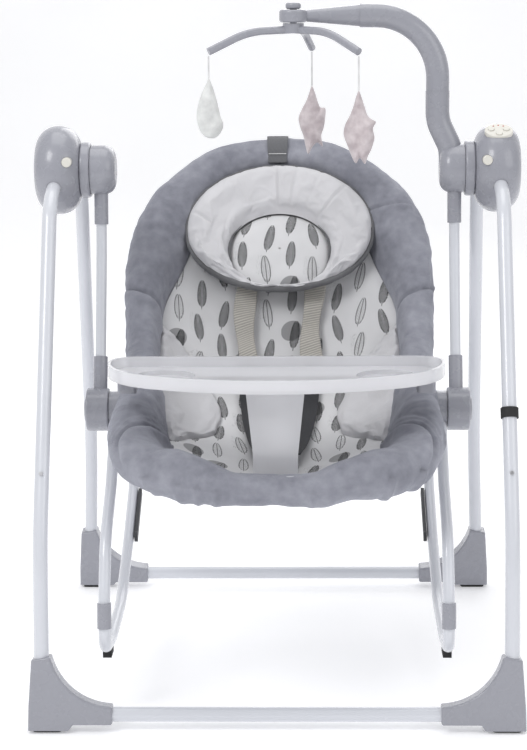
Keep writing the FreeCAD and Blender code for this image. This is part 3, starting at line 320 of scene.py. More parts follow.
GREY = (0.318, 0.322, 0.360)
LOOKS = {
    "white_paint": powder_coat("white_powder_coat", (0.665, 0.680, 0.725)),
    "grey_plastic": plastic("grey_plastic", GREY, 0.27, coat=0.25),
    "dark_plastic": plastic("dark_plastic", (0.045, 0.046, 0.052), 0.5),
    "rubber": plastic("rubber", (0.02, 0.02, 0.021), 0.75, 0.5),
    "steel": metal("turned_steel", (0.55, 0.55, 0.57), 0.28),
    "ivory_plastic": plastic("ivory_plastic", (0.72, 0.70, 0.64), 0.32, coat=0.2),
    "light_lens": plastic("light_lens", (0.45, 0.06, 0.03), 0.12, 0.05, 0.6),
    "circuit_board": plastic("circuit_board", (0.01, 0.07, 0.03), 0.45),
    "copper": metal("enamelled_copper", (0.62, 0.30, 0.16), 0.35),
    "tray_plastic": tray_plastic("tray_plastic"),
    "plush": plush("grey_plush", (0.232, 0.237, 0.276), (0.395, 0.401, 0.452)),
    "piping": plush("piping_cloth", (0.125, 0.126, 0.132), (0.21, 0.212, 0.22)),
    "cotton": cotton("white_cotton", (0.66, 0.655, 0.675)),
    "printed": cotton("feather_cotton", (0.74, 0.738, 0.75), True),
    "beige_webbing": webbing("ribbed_webbing", (0.56, 0.535, 0.49), 260),
    "dark_webbing": webbing("dark_webbing", (0.035, 0.036, 0.042), 420),
    "tab_webbing": webbing("tab_webbing", (0.185, 0.188, 0.200), 520),
    "cord": felt("cord_cotton", (0.6, 0.6, 0.6), (0.82, 0.82, 0.82)),
    "toy_white": felt("white_felt", (0.60, 0.605, 0.60), (0.80, 0.81, 0.795)),
    "toy_pink": felt("pink_felt", (0.47, 0.405, 0.42), (0.70, 0.635, 0.645)),
}
SLOTS = {s["node"]: s["material_slot"] for s in frame["record"]["subparts"]}
for name, cad_node in frame["nodes"].items():
    cad_node.data.materials.clear()
    cad_node.data.materials.append(LOOKS[SLOTS[name]])


# ---------------------------------------------------------------- mesh tools


def distance_along(points):
    """The distance from the first point of a line to each of its points."""
    return np.concatenate([[0], np.cumsum(np.linalg.norm(np.diff(points, axis=0), axis=1))])


def spline(points, count, closed=False):
    """Evenly spaced points on a smooth curve through the given ones (Catmull-Rom)."""
    p = np.asarray(points, float)
    n = len(p)
    if closed:
        p = np.vstack([p[-1], p, p[0], p[1]])
        spans = n
    else:
        p = np.vstack([2 * p[0] - p[1], p, 2 * p[-1] - p[-2]])
        spans = n - 1
    t = np.linspace(0, 1, 40, endpoint=False)[:, None]
    fine = []
    for i in range(spans):
        a, b, c, d = p[i : i + 4]
        square, cube = 2 * a - 5 * b + 4 * c - d, 3 * b - a - 3 * c + d
        fine.append(0.5 * (2 * b + (c - a) * t + square * t**2 + cube * t**3))
    fine = np.vstack(fine + [p[1 if closed else -2][None]])
    length = distance_along(fine[:, :3])
    even = np.linspace(0, length[-1], count, endpoint=not closed)
    return np.stack([np.interp(even, length, fine[:, k]) for k in range(fine.shape[1])], axis=1)


def lumps(points, scale, seed=0):
    """A smooth random height for each point, about -1 to 1, from a few crossed waves."""
    random = np.random.default_rng(seed)
    total = np.zeros(points.shape[:-1])
    for octave in range(7):
        direction = random.normal(size=3)
        direction *= (0.6 + 0.25 * octave) * 2 * math.pi / scale / np.linalg.norm(direction)
        total += np.sin(points @ direction + random.uniform(0, 6.28)) / (1 + 0.35 * octave)
    return total / 2.6


def add_mesh(name, verts, faces, look, uvs=None):
    mesh = bpy.data.meshes.new(name)
    mesh.from_pydata([tuple(v) for v in verts], [], faces)
    mesh.materials.append(LOOKS[look])
    mesh.polygons.foreach_set("use_smooth", [True] * len(mesh.polygons))
    if uvs is not None:
        layer = mesh.uv_layers.new(name="UVMap")
        order = np.zeros(len(mesh.loops), int)
        mesh.loops.foreach_get("vertex_index", order)
        layer.data.foreach_set("uv", np.asarray(uvs, float)[order].ravel())
    mesh.validate()
    mesh.update()
    made = bpy.data.objects.new(name, mesh)
    scene.collection.objects.link(made)
    return made


def grid_faces(rows, cols, close_rows=False, close_cols=False, flip=False):
    faces = []
    for i in range(rows if close_rows else rows - 1):
        for j in range(cols if close_cols else cols - 1):
            a, b = i * cols + j, i * cols + (j + 1) % cols
            c, d = ((i + 1) % rows) * cols + (j + 1) % cols, ((i + 1) % rows) * cols + j
            faces.append((a, d, c, b) if flip else (a, b, c, d))
    return faces


def grid(name, points, look, uv=None, **options):
    """A surface through a rows x columns array of points."""
    rows, cols = points.shape[:2]
    uvs = None if uv is None else uv.reshape(-1, 2)
    return add_mesh(name, points.reshape(-1, 3), grid_faces(rows, cols, **options), look, uvs)


def grid_uv(points):
    """Arc lengths along a grid's middle column and out from it, in metres."""
    step = np.linalg.norm(np.diff(points, axis=1), axis=2)
    across = np.concatenate([np.zeros((len(points), 1)), np.cumsum(step, axis=1)], axis=1)
    across -= across[:, points.shape[1] // 2][:, None]
    along = distance_along(points[:, points.shape[1] // 2])
    return np.stack([across, np.repeat(along[:, None], points.shape[1], axis=1)], axis=2)


def grid_normals(points, towards):
    """Unit normals of a grid, turned to the side that the given direction is on."""
    down, right = np.gradient(points, axis=0), np.gradient(points, axis=1)
    normal = np.cross(down, right)
    normal /= np.maximum(np.linalg.norm(normal, axis=2, keepdims=True), 1e-9)
    sign = np.sign((normal * towards).sum(axis=2, keepdims=True))
    return normal * np.where(sign == 0, 1, sign)


def path_frames(path, closed):
    """Tangents and two normals along a path, carried along it without twisting."""
    ahead = np.roll(path, -1, axis=0) - np.roll(path, 1, axis=0)
    if not closed:
        ahead[0], ahead[-1] = path[1] - path[0], path[-1] - path[-2]
    tangent = ahead / np.linalg.norm(ahead, axis=1, keepdims=True)
    normal = np.cross(tangent[0], (0.3, 0.2, 0.93))
    first = []
    for t in tangent:
        normal = normal - t * normal.dot(t)
        normal /= np.linalg.norm(normal)
        first.append(normal)
    first = np.array(first)
    return tangent, first, np.cross(tangent, first)


def tube(name, path, radius, look, sides=16, closed=False):
    """A round tube along a path, its radius a number or one for each point, with domed ends."""
    path = np.asarray(path, float)
    radius = np.broadcast_to(radius, (len(path),)).astype(float)
    if not closed:
        steps = np.sin(np.linspace(0, math.pi / 2, 5))[1:]
        start, end = path[0] - path[1], path[-1] - path[-2]
        start, end = start / np.linalg.norm(start), end / np.linalg.norm(end)
        heads = [path[0] + start * radius[0] * s * 0.5 for s in steps[::-1]]
        tails = [path[-1] + end * radius[-1] * s * 0.5 for s in steps]
        shrink = np.sqrt(np.maximum(1 - steps**2, 0.0004))
        path = np.vstack([heads, path, tails])
        radius = np.concatenate([radius[0] * shrink[::-1], radius, radius[-1] * shrink])
    _, n1, n2 = path_frames(path, closed)
    turn = np.linspace(0, 2 * math.pi, sides, endpoint=False)
    ring = n1[:, None] * np.cos(turn)[None, :, None] + n2[:, None] * np.sin(turn)[None, :, None]
    points = path[:, None] + ring * radius[:, None, None]
    made_faces = grid_faces(len(path), sides, close_rows=closed, close_cols=True)
    verts = points.reshape(-1, 3)
    if not closed:
        made_faces += [tuple(range(sides))[::-1], tuple(range(len(verts) - sides, len(verts)))]
    length = distance_along(path)
    uv = np.stack(np.meshgrid(turn * radius.mean(), length), axis=2)
    return add_mesh(name, verts, made_faces, look, uv.reshape(-1, 2))


STRAP_EDGES = 28


def strap(name, path, half_width, thickness, look, across=(1, 0, 0)):
    """A flat strap with rounded edges along a path."""
    path = np.asarray(path, float)
    across = np.asarray(across, float)
    half_width = np.broadcast_to(half_width, (len(path),)).astype(float)
    tangent, _, _ = path_frames(path, False)
    side = across - tangent * (tangent @ across)[:, None]
    side /= np.linalg.norm(side, axis=1, keepdims=True)
    up = np.cross(side, tangent)
    turn = np.linspace(0, 2 * math.pi, STRAP_EDGES, endpoint=False)
    wide = np.sign(np.cos(turn)) * np.abs(np.cos(turn)) ** 0.35
    high = np.sign(np.sin(turn)) * np.abs(np.sin(turn)) ** 0.6
    points = path[:, None] + side[:, None] * (wide[None, :] * half_width[:, None])[:, :, None]
    points = points + up[:, None] * (high * thickness / 2)[None, :, None]
    faces = grid_faces(len(path), STRAP_EDGES, close_cols=True)
    count = len(path) * STRAP_EDGES
    faces += [tuple(range(STRAP_EDGES))[::-1], tuple(range(count - STRAP_EDGES, count))]
    across_uv = np.broadcast_to(wide * half_width.mean(), points.shape[:2])
    along_uv = np.repeat(distance_along(path)[:, None], STRAP_EDGES, axis=1)
    uv = np.stack([across_uv, along_uv], axis=2)
    return add_mesh(name, points.reshape(-1, 3), faces, look, uv.reshape(-1, 2))


CLOTH_FRAMES = 18


def cloth_modifier(piece, pressure):
    """Cloth on a piece, held at its group of seams and pushed out by pressure, without gravity."""
    cloth = piece.modifiers.new("cloth", "CLOTH")
    cloth.settings.quality = 6
    cloth.settings.mass = 0.25
    cloth.settings.tension_stiffness = cloth.settings.compression_stiffness = 12
    cloth.settings.bending_stiffness = 0.4
    cloth.settings.use_pressure = True
    cloth.settings.uniform_pressure_force = pressure
    cloth.settings.vertex_group_mass = "seams"
    cloth.settings.shrink_min = -0.035
    cloth.settings.effector_weights.gravity = 0
    cloth.point_cache.frame_end = CLOTH_FRAMES
    return cloth


def inflate(piece, pinned, pressure, cap):
    """Puffs a cloth out between its pinned vertices by simulation, moving no point more than cap."""
    start = np.array([v.co[:] for v in piece.data.vertices])
    group = piece.vertex_groups.new(name="seams")
    group.add([int(i) for i in pinned], 1.0, "REPLACE")
    cloth = cloth_modifier(piece, pressure)
    for number in range(1, CLOTH_FRAMES + 1):
        scene.frame_set(number)
    result = piece.evaluated_get(bpy.context.evaluated_depsgraph_get()).to_mesh()
    moved = np.array([v.co[:] for v in result.vertices]) - start
    piece.evaluated_get(bpy.context.evaluated_depsgraph_get()).to_mesh_clear()
    piece.modifiers.remove(cloth)
    piece.vertex_groups.remove(group)
    size = np.linalg.norm(moved, axis=1, keepdims=True)
    moved *= np.minimum(1, cap / np.maximum(size, 1e-9))
    piece.data.vertices.foreach_set("co", (start + np.nan_to_num(moved)).ravel())
    piece.data.update()
    scene.frame_set(1)


# ---------------------------------------------------------------- seat cover

# Stations from the front middle to the top middle. The rim: distance out, y, z. The seat below it: depth
# and the y and z of the direction it hangs in. The stuffed edge: its radius. The seam where plush meets
# cotton: distance out, and the y of the rim beside it.
STATIONS = np.array([
    (0.000, -0.338, 0.3330, 0.001, 0.00, -1.00, 0.0210, 0.000, -0.306),
    (0.055, -0.338, 0.3345, 0.006, 0.00, -1.00, 0.0222, 0.045, -0.296),
    (0.092, -0.334, 0.3425, 0.018, 0.00, -1.00, 0.0272, 0.080, -0.290),
    (0.130, -0.322, 0.3490, 0.030, 0.02, -1.00, 0.0320, 0.104, -0.270),
    (0.165, -0.300, 0.3510, 0.039, 0.05, -1.00, 0.0298, 0.118, -0.246),
    (0.193, -0.262, 0.3610, 0.056, 0.10, -1.00, 0.0285, 0.130, -0.215),
    (0.203, -0.210, 0.3740, 0.074, 0.12, -0.99, 0.0268, 0.140, -0.175),
    (0.204, -0.150, 0.3900, 0.090, 0.18, -0.98, 0.0250, 0.149, -0.130),
    (0.201, -0.085, 0.4060, 0.098, 0.30, -0.95, 0.0240, 0.159, -0.080),
    (0.201, 0.000, 0.4340, 0.090, 0.52, -0.86, 0.0240, 0.170, 0.000),
    (0.205, 0.070, 0.4720, 0.068, 0.70, -0.71, 0.0245, 0.178, 0.062),
    (0.207, 0.122, 0.5300, 0.048, 0.78, -0.63, 0.0250, 0.172, 0.112),
    (0.203, 0.165, 0.5920, 0.037, 0.80, -0.60, 0.0250, 0.142, 0.156),
    (0.180, 0.209, 0.6420, 0.032, 0.80, -0.60, 0.0255, 0.120, 0.196),
    (0.142, 0.247, 0.6790, 0.025, 0.80, -0.60, 0.0255, 0.092, 0.226),
    (0.085, 0.277, 0.7080, 0.016, 0.80, -0.60, 0.0255, 0.052, 0.246),
    (0.000, 0.289, 0.7200, 0.010, 0.80, -0.60, 0.0255, 0.000, 0.252),
])
ROWS = 320
RIM = spline(STATIONS, ROWS)
RIM[:, 0] = np.maximum(RIM[:, 0], 0)
RIM[:, 7] = np.maximum(RIM[:, 7], 0)
RIM[:, 4:6] /= np.linalg.norm(RIM[:, 4:6], axis=1, keepdims=True)
RIM_LINE, RIM_HANG, EDGE_RADIUS = RIM[:, :3], RIM[:, 4:6], RIM[:, 6:7]
SEAM_X, SEAM_Y = RIM[:, 7:8], RIM[:, 8:9]
ROW_Y = np.maximum.accumulate(RIM[:, 1]) + np.linspace(0, 1e-6, ROWS)

# Half-width of the print by y, where the plain wings stand beside it.
PRINT_EDGE = [(-0.125, 0.160), (-0.117, 0.148), (-0.087, 0.128), (-0.070, 0.108), (-0.054, 0.092),
              (-0.025, 0.086), (-0.007, 0.088), (0.015, 0.100), (0.033, 0.113), (0.060, 0.135),
              (0.078, 0.156), (0.093, 0.176)]


def seat_surface(x, y, extra=0.0, power=2.4):
    """Points of the seat's inside, x out from the middle beside the rim's y; extra is further below."""
    x, y = np.broadcast_arrays(np.asarray(x, float), np.asarray(y, float))
    half, z, depth, hang_y, hang_z = (np.interp(y, ROW_Y, RIM[:, k]) for k in (0, 2, 3, 4, 5))
    share = np.clip(np.abs(x) / np.maximum(half, 1e-4), 0, 1)
    drop = (depth + extra) * (1 - share**power)
    return np.stack([x, y + hang_y * drop, z + hang_z * drop], axis=-1)


def hang_direction(y):
    return np.stack([0 * y, np.interp(y, ROW_Y, RIM[:, 4]), np.interp(y, ROW_Y, RIM[:, 5])], axis=-1)


def notch(value, middle, width):
    """A narrow dip, 1 at the middle."""
    return np.exp(-(((value - middle) / width) ** 2))


def full_loop(column_values, mirror):
    """A right-hand half from the front to the top, continued down the left-hand side."""
    sign = np.array(mirror)
    return np.concatenate([column_values, column_values[::-1][1:-1] * sign])


SEAM_DIP = 0.0035
# Where the stuffed edge's section starts and ends, in degrees from straight out, and how much of the way
# from the outer edge to the seam it takes up.
EDGE_TURN = (-125, 96)
RING_SHARE = 0.45
# Stitched darts: distance along the rim at the outer edge and at the seam, width, depth and side (0 both).
DARTS = [
    (0.655, 0.618, 0.0038, 0.0075, 0),
    (0.777, 0.816, 0.0026, 0.0034, 1),
    (0.700, 0.716, 0.0090, 0.0024, -1),
    (0.430, 0.470, 0.0080, 0.0022, 0),
    (0.900, 0.915, 0.0070, 0.0018, -1),
]
# Gathers round the front of the roll: distance along the rim, side and depth.
GATHERS = [
    (0.186, 1, 0.0065),
    (0.143, 1, 0.0055),
    (0.118, -1, 0.0035),
    (0.096, -1, 0.0045),
    (0.074, -1, 0.0040),
    (0.050, 1, 0.0025),
    (0.160, -1, 0.0030),
]
# Where the front roll folds over the side: distance along the rim at the outer edge and at the seam.
FRONT_FOLD = (0.196, 0.338)


def height_of_stuffing(slope_share, ring_columns, reach):
    """The slope's swell between the stuffed edge and the seam, where it dips."""
    across = np.concatenate([np.zeros(ring_columns), slope_share])[None, :]
    swell = 0.0055 * np.sin(math.pi * across) * np.minimum(1, reach / 0.05)
    return swell - SEAM_DIP * np.clip((across - 0.9) / 0.1, 0, 1) ** 2


def plush_creases(along, cross, side):
    """Depth of the darts, the gathers and the fold where the front roll meets the side."""
    face = np.clip(cross * 5 + 0.35, 0, 1)
    depth = 0 * (along + cross)
    for outer, inner, width, deep, which in DARTS:
        place = outer + (inner - outer) * np.clip(cross, 0, 1)
        only = (side == which) if which else np.ones_like(side)
        reach = np.clip((cross - 0.2) * 6, 0, 1) * np.clip((0.85 - cross) * 6, 0, 1) if which else 1
        depth = depth + face * only * deep * notch(along - place, 0, width) * reach
        depth = depth - face * only * 0.35 * deep * notch(along - place, -3 * width, 3 * width) * reach
    below = notch(cross, -0.12, 0.30)
    for place, which, deep in GATHERS:
        depth = depth + below * (side == which) * deep * notch(along, place + 0.01 * cross, 0.0045)
    fold = along - (FRONT_FOLD[0] + (FRONT_FOLD[1] - FRONT_FOLD[0]) * np.clip(cross, 0, 1))
    open_side = np.clip(cross * 4, 0, 1)
    depth = depth + open_side * 0.0085 * notch(fold, 0.003, 0.006)
    depth = depth - open_side * 0.0050 * notch(fold, -0.016, 0.012)
    return depth + open_side * 0.0022 * (notch(fold, 0.020, 0.005) + notch(fold, 0.036, 0.006))


def rim_directions(rim):
    """Unit directions at each point of the rim's loop: out from the seat, and up off it."""
    hang = full_loop(np.column_stack([0 * RIM_HANG[:, 0], RIM_HANG]), (1, 1, 1))
    tangent, _, _ = path_frames(rim, True)
    up = -hang - tangent * (-hang * tangent).sum(axis=1, keepdims=True)
    up /= np.linalg.norm(up, axis=1, keepdims=True)
    out = np.cross(tangent, up)
    out *= np.sign((out * (rim - (0, 0, 0.5)) * (1, 1, 0.3)).sum(axis=1, keepdims=True).mean())
    return out, up


def stuffed_edge(rim, out, up, turn, length):
    """The round edge: a ring section at each point of the rim, uneven, with gathers under the front."""
    radius = full_loop(EDGE_RADIUS, (1,))[:, 0]
    front = np.clip((-0.18 - rim[:, 1]) / 0.08, 0, 1)
    line = np.stack([length, 0 * length, 0 * length], axis=1)
    wobble, fine = lumps(line, 0.11, 3), lumps(line, 0.035, 9)
    under = np.clip(-np.sin(turn) * 1.4 - 0.1, 0, 1)
    swell = 1 + 0.05 * wobble[:, None] + (0.10 * fine * front)[:, None] * under
    ring = out[:, None] * np.cos(turn)[:, :, None] + up[:, None] * np.sin(turn)[:, :, None]
    return rim[:, None] + ring * (radius[:, None] * swell)[:, :, None]


def slope_to_seam(start, ahead, seam, inward, reach, share):
    """A smooth slope from the stuffed edge down to the seam, leaving and arriving in given directions."""
    t = share[None, :, None]
    leave, arrive = (ahead * reach * 1.15)[:, None], (inward * reach * 0.75)[:, None]
    first = (2 * t**3 - 3 * t**2 + 1) * start[:, None] + (t**3 - 2 * t**2 + t) * leave
    return first + (3 * t**2 - 2 * t**3) * seam[:, None] + (t**3 - t**2) * arrive


def seat_plush():
    """The plush: round the rim's outside, over the stuffed edge and in to the seam, as one piece."""
    rim = full_loop(RIM_LINE, (-1, 1, 1))
    seam_x = full_loop(SEAM_X, (-1,))[:, 0]
    seam_y = full_loop(SEAM_Y, (1,))[:, 0]
    out, up = rim_directions(rim)
    seam = seat_surface(seam_x, seam_y)
    inward = seat_surface(seam_x * 0.88, seam_y * 0.9 - 0.002) - seam
    inward /= np.linalg.norm(inward, axis=1, keepdims=True)
    length = distance_along(rim)
    turn = np.radians(np.linspace(*EDGE_TURN, 40))[None, :]
    edge = stuffed_edge(rim, out, up, turn, length)
    start = edge[:, -1]
    ahead = -out * math.sin(turn[0, -1]) + up * math.cos(turn[0, -1])
    reach = np.linalg.norm(seam - start, axis=1, keepdims=True)
    share = np.linspace(0, 1, 34)[1:]
    points = np.concatenate([edge, slope_to_seam(start, ahead, seam, inward, reach, share)], axis=1)
    normal = grid_normals(points, up[:, None])
    ring_columns = turn.shape[1]
    height = height_of_stuffing(share, ring_columns, reach)
    height = height + 0.0018 * lumps(points, 0.075, 8) + 0.0009 * lumps(points, 0.028, 21)
    side = np.sign(points[:, ring_columns // 2, 0])[:, None]
    loop_length = length[-1] + np.linalg.norm(rim[0] - rim[-1])
    along = np.minimum(length, loop_length - length)[:, None]
    ring_cross = turn[0] / turn[0, -1] * RING_SHARE
    cross = np.concatenate([ring_cross, RING_SHARE + (1 - RING_SHARE) * share])[None, :]
    height = height - plush_creases(along, cross, side)
    points = points + normal * height[:, :, None]
    return grid("seat_cover_plush", points, "plush", close_rows=True)


def sewn_panel(name, x, y, look, puff, seed=1, softness=14):
    """A cotton panel of the seat: it swells between its seams and dips at them."""
    points = seat_surface(x, y)
    rows, count = x.shape
    share = np.linspace(0, 1, count)[None, :]
    ends = np.minimum(np.arange(rows), np.arange(rows)[::-1])[:, None] / softness
    swell = (1 - (2 * share - 1) ** 6) * np.minimum(1, ends)
    normal = grid_normals(points, -hang_direction(y))
    height = puff * swell**0.7 - SEAM_DIP * (1 - np.minimum(1, swell * 2))
    height = height + 0.0014 * lumps(points, 0.055, seed) * swell
    points = points + normal * height[:, :, None]
    piece = grid(name, points, look, grid_uv(points))
    edges = [(i, j) for i in range(rows) for j in range(count) if i in (0, rows - 1) or j in (0, count - 1)]
    border = [i * count + j for i, j in edges]
    inflate(piece, border, 1.2, 0.006)
    return piece


def seat_cotton():
    """The printed middle and the two plain wings beside it."""
    order = np.argsort(SEAM_Y[:, 0])
    seam_x, seam_y = SEAM_X[order, 0], SEAM_Y[order, 0]
    y = np.linspace(seam_y[0], seam_y[-1], 230)
    half = np.interp(y, seam_y, seam_x)
    inner = np.minimum(np.interp(y, *zip(*PRINT_EDGE), left=1, right=1), half)
    share = np.linspace(-1, 1, 84)[None, :]
    x = inner[:, None] * share
    pieces = [sewn_panel("seat_cover_print", x, y[:, None] + 0 * share, "printed", 0.004)]
    wing = np.nonzero(half - inner > 0.0015)[0]
    share = np.linspace(0, 1, 30)[None, :]
    x = inner[wing][:, None] * (1 - share) + half[wing][:, None] * share
    wing_y = y[wing][:, None] + 0 * share
    for side_name, side in SIDES.items():
        name = f"seat_cover_wing_{side_name}"
        pieces.append(sewn_panel(name, x * side, wing_y, "cotton", 0.0060, seed=4 + side, softness=5))
    return pieces


def seat_underside():
    """The cover's outside, under and behind the seat."""
    share = np.linspace(-1, 1, 90)[None, :]
    x = RIM[:, :1] * share
    y = RIM[:, 1:2] + 0 * share
    shell = 0.015 - 0.009 * np.clip((-0.15 - y) / 0.1, 0, 1)
    points = seat_surface(x, y, shell, 2.8)
    normal = grid_normals(points, hang_direction(y))
    points = points + normal * (0.0025 * lumps(points, 0.09, 12))[:, :, None]
    return grid("seat_cover_back", points, "plush", grid_uv(points))


cover_pieces = [seat_plush(), *seat_cotton(), seat_underside()]
for piece in cover_pieces:
    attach(piece, "seat")
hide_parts("seat_cover")


# ---------------------------------------------------------------- head pillow

BACK_ANGLE = math.radians(37)
BACK_UP = np.array((0, math.sin(BACK_ANGLE), math.cos(BACK_ANGLE)))
BACK_FACE = np.array((0, -math.cos(BACK_ANGLE), math.sin(BACK_ANGLE)))
PILLOW_MIDDLE = np.array((0, 0.196, 0.606)) + BACK_FACE * 0.012
PILLOW_HALF_WIDTH, PILLOW_HALF_HEIGHT, PILLOW_LOW = 0.1395, 0.1075, 0.97
INSET_HALF_WIDTH, INSET_TOP, INSET_MIDDLE = 0.0765, 0.028, -0.036


def on_back(x, up, out):
    """A point in the pillow's own directions: across, up the back and out from it."""
    x, up, out = np.broadcast_arrays(x, up, out)
    across = np.stack([x, 0 * x, 0 * x], axis=-1)
    return PILLOW_MIDDLE + across + up[..., None] * BACK_UP + out[..., None] * BACK_FACE


def pillow_outline(turn):
    """The pillow's egg-like edge: round above and flatter along the bottom."""
    rise = np.sin(turn)
    power = np.where(rise < 0, 0.86, 1.0)
    height = PILLOW_HALF_HEIGHT * np.sign(rise) * np.abs(rise) ** power
    return PILLOW_HALF_WIDTH * np.cos(turn), height * np.where(rise < 0, PILLOW_LOW, 1.0)


def inset_outline(turn):
    """The printed inset's edge: a round arch with straighter sides that runs down to the bottom edge."""
    low = np.sin(turn) < 0
    round_side = np.sign(np.cos(turn)) * np.abs(np.cos(turn)) ** np.where(low, 0.36, 1.0)
    across = INSET_HALF_WIDTH * round_side
    bottom = -PILLOW_LOW * PILLOW_HALF_HEIGHT * (1 - (across / PILLOW_HALF_WIDTH) ** 2) ** 0.43 + 0.0062
    arch = INSET_MIDDLE + (INSET_TOP - INSET_MIDDLE) * np.sin(turn)
    foot = INSET_MIDDLE + (INSET_MIDDLE - bottom) * np.sin(turn)
    return across, np.where(low, foot, arch)


CRESCENT_ROWS, CRESCENT_COLUMNS = 260, 40


def crescent_dents(angle, share):
    """The crescent's stitched seams, and the soft creases between them, as depths."""
    seams = notch(angle, 91, 0.9) * 0.0042 + notch(angle, 41 + 3 * share, 0.9) * 0.0034
    seams = seams + notch(angle, 166, 1.2) * 0.003 * (share > 0.05) * (share < 0.5)
    soft = notch(angle, 78, 2.0) * 0.0016 + notch(angle, 62, 1.6) * 0.0014 + notch(angle, 120, 2.4) * 0.001
    return seams + soft


def pillow_front():
    """The white padded crescent between the piping and the inset, with its radial seams."""
    turn = np.linspace(0, 2 * math.pi, CRESCENT_ROWS, endpoint=False)[:, None]
    share = np.linspace(0, 1, CRESCENT_COLUMNS)[None, :]
    ox, ou = pillow_outline(turn)
    ix, iu = inset_outline(turn)
    x, up = ox * (1 - share) + ix * share, ou * (1 - share) + iu * share
    width = np.hypot(ox - ix, ou - iu)
    crown = (1 - (2 * share - 1) ** 4) * np.minimum(1, width / 0.05) ** 0.7
    out = 0.004 + 0.020 * crown - 0.006 * share
    points = on_back(x, up, out)
    dents = crescent_dents(np.degrees(turn), share)
    out = out - dents * crown + 0.0013 * lumps(points, 0.05, 31) * crown
    points = on_back(x, up, out)
    piece = grid("head_pillow_crescent", points, "cotton", close_rows=True)
    edges = (0, CRESCENT_COLUMNS - 1)
    border = [i * CRESCENT_COLUMNS + j for i in range(CRESCENT_ROWS) for j in edges]
    inflate(piece, border, 1.0, 0.005)
    return piece


def pillow_inset():
    """The sunken printed middle of the pillow."""
    turn = np.linspace(0, 2 * math.pi, 180, endpoint=False)[:, None]
    share = np.linspace(0.02, 1, 44)[None, :]
    ix, iu = inset_outline(turn)
    x, up = ix * share * 0.995, INSET_MIDDLE + (iu - INSET_MIDDLE) * share * 0.995
    dish = 0.009 * (1 - share**6) - 0.0055
    points = on_back(x, up, dish)
    out = dish + 0.0012 * lumps(points, 0.045, 33) * (1 - share**8)
    points = on_back(x, up, out)
    uv = np.stack([x, up + 0.6], axis=2)
    return grid("head_pillow_inset", points, "printed", uv, close_rows=True)


def pillow_back():
    turn = np.linspace(0, 2 * math.pi, 160, endpoint=False)[:, None]
    share = np.linspace(0.02, 1, 30)[None, :]
    ox, ou = pillow_outline(turn)
    out = 0.004 - 0.031 * (1 - share**3)
    points = on_back(ox * share, ou * share, out)
    return grid("head_pillow_back", points, "cotton", close_rows=True, flip=True)


def pillow_piping():
    """The dark piping round the pillow, thicker along its bottom."""
    turn = np.linspace(0, 2 * math.pi, 320, endpoint=False)
    x, up = pillow_outline(turn)
    low = np.clip(-np.sin(turn), 0, 1)
    thickness = 0.0031 + 0.0022 * low**1.5 + 0.0003 * np.sin(turn * 23) + 0.0002 * np.sin(turn * 41)
    grow = 1 + 0.0025 / PILLOW_HALF_WIDTH
    line = on_back(x * grow, up * grow, 0.0045 - 0.002 * low)
    return tube("head_pillow_piping", line, thickness, "piping", 14, True)


def pillow_slit_shadow(side_name, side):
    """A thin dark tube of painted shadow in the gap between the crescent and the inset."""
    span = np.linspace(math.radians(-32), math.radians(40), 40)
    x, up = inset_outline(span if side > 0 else math.pi - span)
    gap = 0.0004 + 0.0020 * np.sin(np.linspace(0, math.pi, 40)) ** 1.5
    # The dark piping cloth serves here as painted shadow, widest in the middle of the gap.
    return tube(f"head_pillow_slit_{side_name}", on_back(x, up, 0.0015), gap, "piping", 10)


pillow_pieces = [pillow_front(), pillow_inset(), pillow_back(), pillow_piping()]
pillow_pieces += [pillow_slit_shadow(name, side) for name, side in SIDES.items()]
for piece in pillow_pieces:
    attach(piece, "seat")
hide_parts("head_pillow")


# ---------------------------------------------------------------- harness and top tab

STRAP_OFFSET = 0.050


def route(points, count=70):
    """A smooth line through points given as y and z, in the plane x = 0."""
    return spline(np.array([(0, y, z) for y, z in points]), count)


def shoulder_pad(side_name, side):
    """A beige ribbed pad over a shoulder strap, a little wavy, from under the pillow down the back."""
    line = route([(0.163, 0.545), (0.151, 0.518), (0.137, 0.488), (0.118, 0.452), (0.098, 0.424)])
    share = np.linspace(0, 1, len(line))
    line[:, 0] = side * (STRAP_OFFSET + 0.004 * np.sin(share * 5 + side))
    line += BACK_FACE * (0.004 + 0.0018 * np.sin(share * 17 + side))[:, None]
    half_width = 0.0150 + 0.0020 * np.sin(share * 7 + side)
    return strap(f"shoulder_pad_{side_name}", line, half_width, 0.0055, "beige_webbing")


def harness_strap(side_name, side):
    """The dark lower strap from the shoulder pad's end to the buckle behind the tray post."""
    line = route([(0.110, 0.437), (0.070, 0.400), (0.030, 0.366), (-0.040, 0.336), (-0.104, 0.327)])
    share = np.linspace(0, 1, len(line))
    line[:, 0] = side * (STRAP_OFFSET - 0.030 * share**2)
    return strap(f"harness_strap_{side_name}", line, 0.0125, 0.002, "dark_webbing")


pads = [shoulder_pad(name, side) for name, side in SIDES.items()]
lower_straps = [harness_strap(name, side) for name, side in SIDES.items()]
crotch_line = route([(-0.196, 0.303), (-0.160, 0.309), (-0.126, 0.324)])
lower_straps.append(strap("crotch_strap", crotch_line, 0.0125, 0.002, "dark_webbing"))
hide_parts("shoulder_pads")
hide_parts("harness_straps")
for piece in pads + lower_straps:
    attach(piece, "seat")


